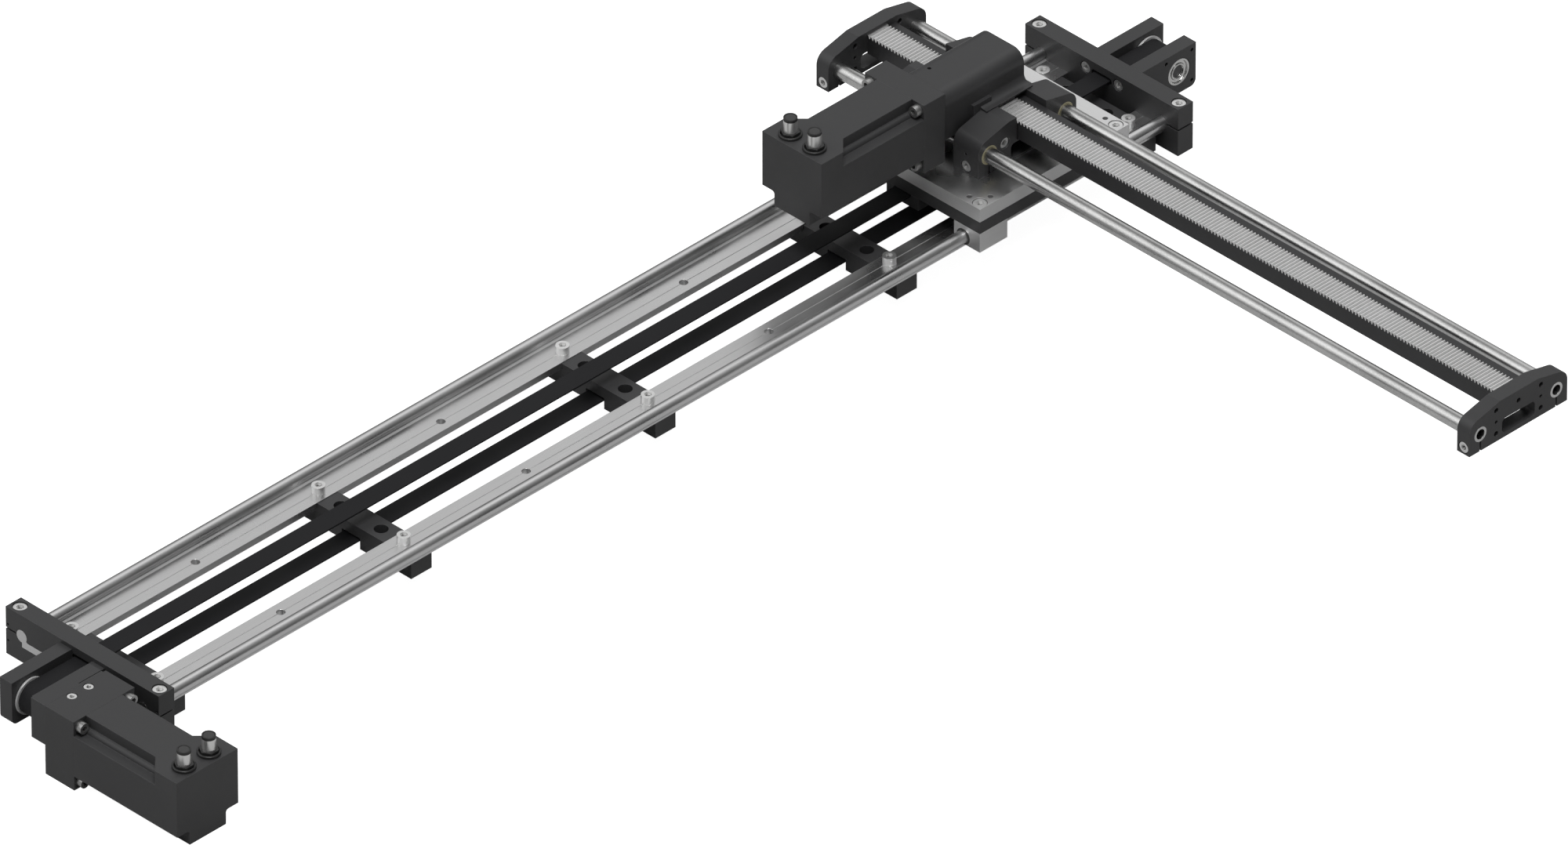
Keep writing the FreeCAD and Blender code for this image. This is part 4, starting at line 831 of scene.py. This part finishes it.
@dataclass
class BearingFaces:
    """The rings and shields on the faces of the four bearings in the forks.

    Each profile gives the radius and height of its ring's corners in millimetres. gap_side_ring
    lies on the face that looks into the fork. width is a bearing's, and lift the gap between its
    face and the rings.
    """

    width: float = 6 * MM
    lift: float = 0.03 * MM
    segments: int = 72
    inner_ring: Profile = (
        (5.3, 0.0), (6.65, 0.0), (6.65, 0.9), (6.3, 1.25), (5.6, 1.25), (5.3, 0.95),
    )
    shield: Profile = (
        (6.9, 0.0), (8.9, 0.0), (8.9, 0.45), (8.4, 0.6), (7.4, 0.6), (6.9, 0.45),
    )
    outer_ring: Profile = (
        (9.0, 0.0), (10.9, 0.0), (10.9, 1.3), (10.5, 1.7), (9.4, 1.7), (9.0, 1.3),
    )
    gap_side_ring: Profile = (
        (8.3, 0.0), (9.35, 0.0), (9.35, 1.2), (9.1, 1.5), (8.6, 1.5), (8.3, 1.2),
    )

    def face(self, profile: Profile, side: float, centre: Vector) -> Surface:
        """One ring on a bearing's face.

        Args:
            profile: Radius and height of its outline's points in millimetres.
            side: 1 for a face that looks towards +Y and -1 for one towards -Y.
            centre: The middle of the face.

        Returns:
            The vertices and the faces.
        """
        outline = np.array(profile) * MM + np.array([0.0, self.lift])
        points, faces = turned(outline, self.segments)
        return along_y(points, side) + np.array(centre), faces

    def build(self, wardrobe: Wardrobe) -> list[bpy.types.Object]:
        """Makes the rings of all four bearings, with the turning ones on the pulleys' bodies.

        Args:
            wardrobe: The finishes.

        Returns:
            The new pieces.
        """
        low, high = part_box("fork_bearings")
        radius = (high.z - low.z) / 2
        axis_z = (low.z + high.z) / 2
        inner_y = high.y - self.width
        fixed = []
        pieces = []
        for name, x in (("drive", low.x + radius), ("idler", high.x - radius)):
            turning = []
            for side in (-1.0, 1.0):
                front = Vector((x, side * high.y, axis_z))
                back = Vector((x, side * inner_y, axis_z))
                fixed.append(self.face(self.shield, side, front))
                fixed.append(self.face(self.outer_ring, side, front))
                fixed.append(self.face(self.gap_side_ring, -side, back))
                turning.append(self.face(self.inner_ring, side, front))
            pieces.append(solid(f"{name}_bearing_lips", joined(turning), name))
        pieces.append(solid("fork_bearing_lips", joined(fixed), "base"))
        return [wardrobe.wear(piece, "bearing_steel", "bearing_steel") for piece in pieces]


@dataclass
class Studio:
    """Floor, world, lamp and camera.

    margin is how much wider than the photo's scale the view is. floor_glow is light that only the
    camera sees. horizon gives the world's brightness at each bearing, in degrees from +X towards
    +Y. Its factor is low_sky near the floor and sky high up, and sky_rise holds the heights of a
    ray's direction between which it changes. lamp_spread is in degrees, and lamp_way is where the
    lamp's light goes.
    """

    middle: Vector
    picture_width: float = PHOTO_WIDTH / PHOTO_PIXELS_PER_METRE
    view_from: tuple[float, float, float] = (-1.0, -1.0, 1.0)
    lens: float = 850.0
    sensor: float = 36.0
    margin: float = 1.005
    clip_end: float = 200.0
    floor_half: float = 15.0
    floor_colour: Colour = (0.42, 0.42, 0.42)
    floor_glow: float = 0.95
    sky: float = 1.75
    low_sky: float = 0.2
    sky_rise: tuple[float, float] = (0.05, 0.55)
    horizon: Profile = (
        (-180.0, 0.37), (-130.0, 0.28), (-90.0, 0.19), (-50.0, 0.11), (-30.0, 0.2), (0.0, 0.5),
        (25.0, 0.7), (42.0, 0.61), (60.0, 0.19), (78.0, 0.19), (100.0, 0.4), (120.0, 0.82),
        (137.0, 1.0), (160.0, 0.75), (180.0, 0.37),
    )
    lamp_power: float = 2.05
    lamp_spread: float = 25.0
    lamp_way: tuple[float, float, float] = (0.2, 0.22, -1.0)

    def floor(self, height: float) -> None:
        """A pale floor that the camera sees as white with the object's soft shadow.

        Args:
            height: Where it lies.

        Returns:
            Nothing.
        """
        half = self.floor_half
        ways = ((-1, -1), (1, -1), (1, 1), (-1, 1))
        corners = [(half * x, half * y, height) for x, y in ways]
        mesh = bpy.data.meshes.new("studio_floor")
        mesh.from_pydata(corners, [], [(0, 1, 2, 3)])
        ground = bpy.data.objects.new("studio_floor", mesh)
        bpy.context.scene.collection.objects.link(ground)
        material = bpy.data.materials.new("studio_floor")
        graph = Graph(material)
        rays = graph.node("ShaderNodeLightPath")
        matt = graph.node("ShaderNodeBsdfDiffuse")
        matt.inputs["Color"].default_value = (*self.floor_colour, 1.0)
        glow = graph.node("ShaderNodeEmission")
        glow.inputs["Strength"].default_value = self.floor_glow
        seen = graph.node("ShaderNodeAddShader")
        graph.link(matt.outputs[0], seen.inputs[0])
        graph.link(glow.outputs[0], seen.inputs[1])
        choice = graph.node("ShaderNodeMixShader")
        graph.link(rays.outputs["Is Camera Ray"], choice.inputs[0])
        graph.link(matt.outputs[0], choice.inputs[1])
        graph.link(seen.outputs[0], choice.inputs[2])
        output = graph.node("ShaderNodeOutputMaterial")
        graph.link(choice.outputs[0], output.inputs["Surface"])
        mesh.materials.append(material)
        ground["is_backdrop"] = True

    def world(self) -> None:
        """White for the camera; for other rays a studio that changes with bearing and height.

        Returns:
            Nothing.
        """
        world = bpy.data.worlds.new("studio")
        bpy.context.scene.world = world
        graph = Graph(world)
        rays = graph.node("ShaderNodeLightPath")
        direction = graph.node("ShaderNodeTexCoord")
        parts = graph.node("ShaderNodeSeparateXYZ")
        graph.link(direction.outputs["Generated"], parts.inputs["Vector"])
        rise = graph.spread(parts.outputs["Z"], self.sky_rise, (self.low_sky, self.sky))
        bearing = graph.math("ARCTAN2", parts.outputs["Y"], parts.outputs["X"])
        brightness = graph.curve(bearing, (-math.pi, math.pi), self.horizon)
        level = graph.math("MULTIPLY", rise, brightness)
        level = graph.math("MAXIMUM", level, rays.outputs["Is Camera Ray"])
        background = graph.node("ShaderNodeBackground")
        graph.link(level, background.inputs["Strength"])
        output = graph.node("ShaderNodeOutputWorld")
        graph.link(background.outputs[0], output.inputs["Surface"])

    def lamp(self) -> None:
        """One wide soft lamp from above, a little to the camera's side.

        Returns:
            Nothing.
        """
        data = bpy.data.lights.new("key", "SUN")
        data.energy = self.lamp_power
        data.angle = math.radians(self.lamp_spread)
        lamp = bpy.data.objects.new("key", data)
        lamp.rotation_euler = Vector(self.lamp_way).to_track_quat("-Z", "Y").to_euler()
        bpy.context.scene.collection.objects.link(lamp)

    def camera(self) -> None:
        """The photograph's parallel view, taken with a very long lens.

        Returns:
            Nothing.
        """
        data = bpy.data.cameras.new("camera")
        data.lens = self.lens
        data.sensor_width = self.sensor
        data.clip_end = self.clip_end
        camera = bpy.data.objects.new("camera", data)
        back = Vector(self.view_from).normalized()
        distance = self.picture_width * self.margin * self.lens / self.sensor
        camera.location = self.middle + back * distance
        camera.rotation_euler = (-back).to_track_quat("-Z", "Y").to_euler()
        bpy.context.scene.collection.objects.link(camera)
        bpy.context.scene.camera = camera


def main() -> None:
    """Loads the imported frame, dresses it, adds the fine pieces and sets the studio up.

    Returns:
        Nothing.
    """
    logging.basicConfig(level=logging.INFO)
    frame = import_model()
    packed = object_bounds()
    slots = {part["node"]: part["material_slot"] for part in frame["record"]["subparts"]}
    wardrobe = Wardrobe()
    for name, finish in wardrobe.dress(frame["nodes"], slots).items():
        log.info("dressed %s in %s", name, finish)
    assemblies = (
        MotorConnectors("base_motor", "base"),
        MotorConnectors("carriage_motor", "carriage"),
        BearingFaces(),
    )
    for assembly in assemblies:
        for piece in assembly.build(wardrobe):
            log.info("made %s with %d faces", piece.name, len(piece.data.polygons))
    studio = Studio(Vector(PICTURE_MIDDLE))
    studio.floor(packed[0].z - FLOOR_DROP)
    studio.world()
    studio.lamp()
    studio.camera()
    bpy.context.scene.view_settings.view_transform = "Standard"


if __name__ == "__main__":
    main()
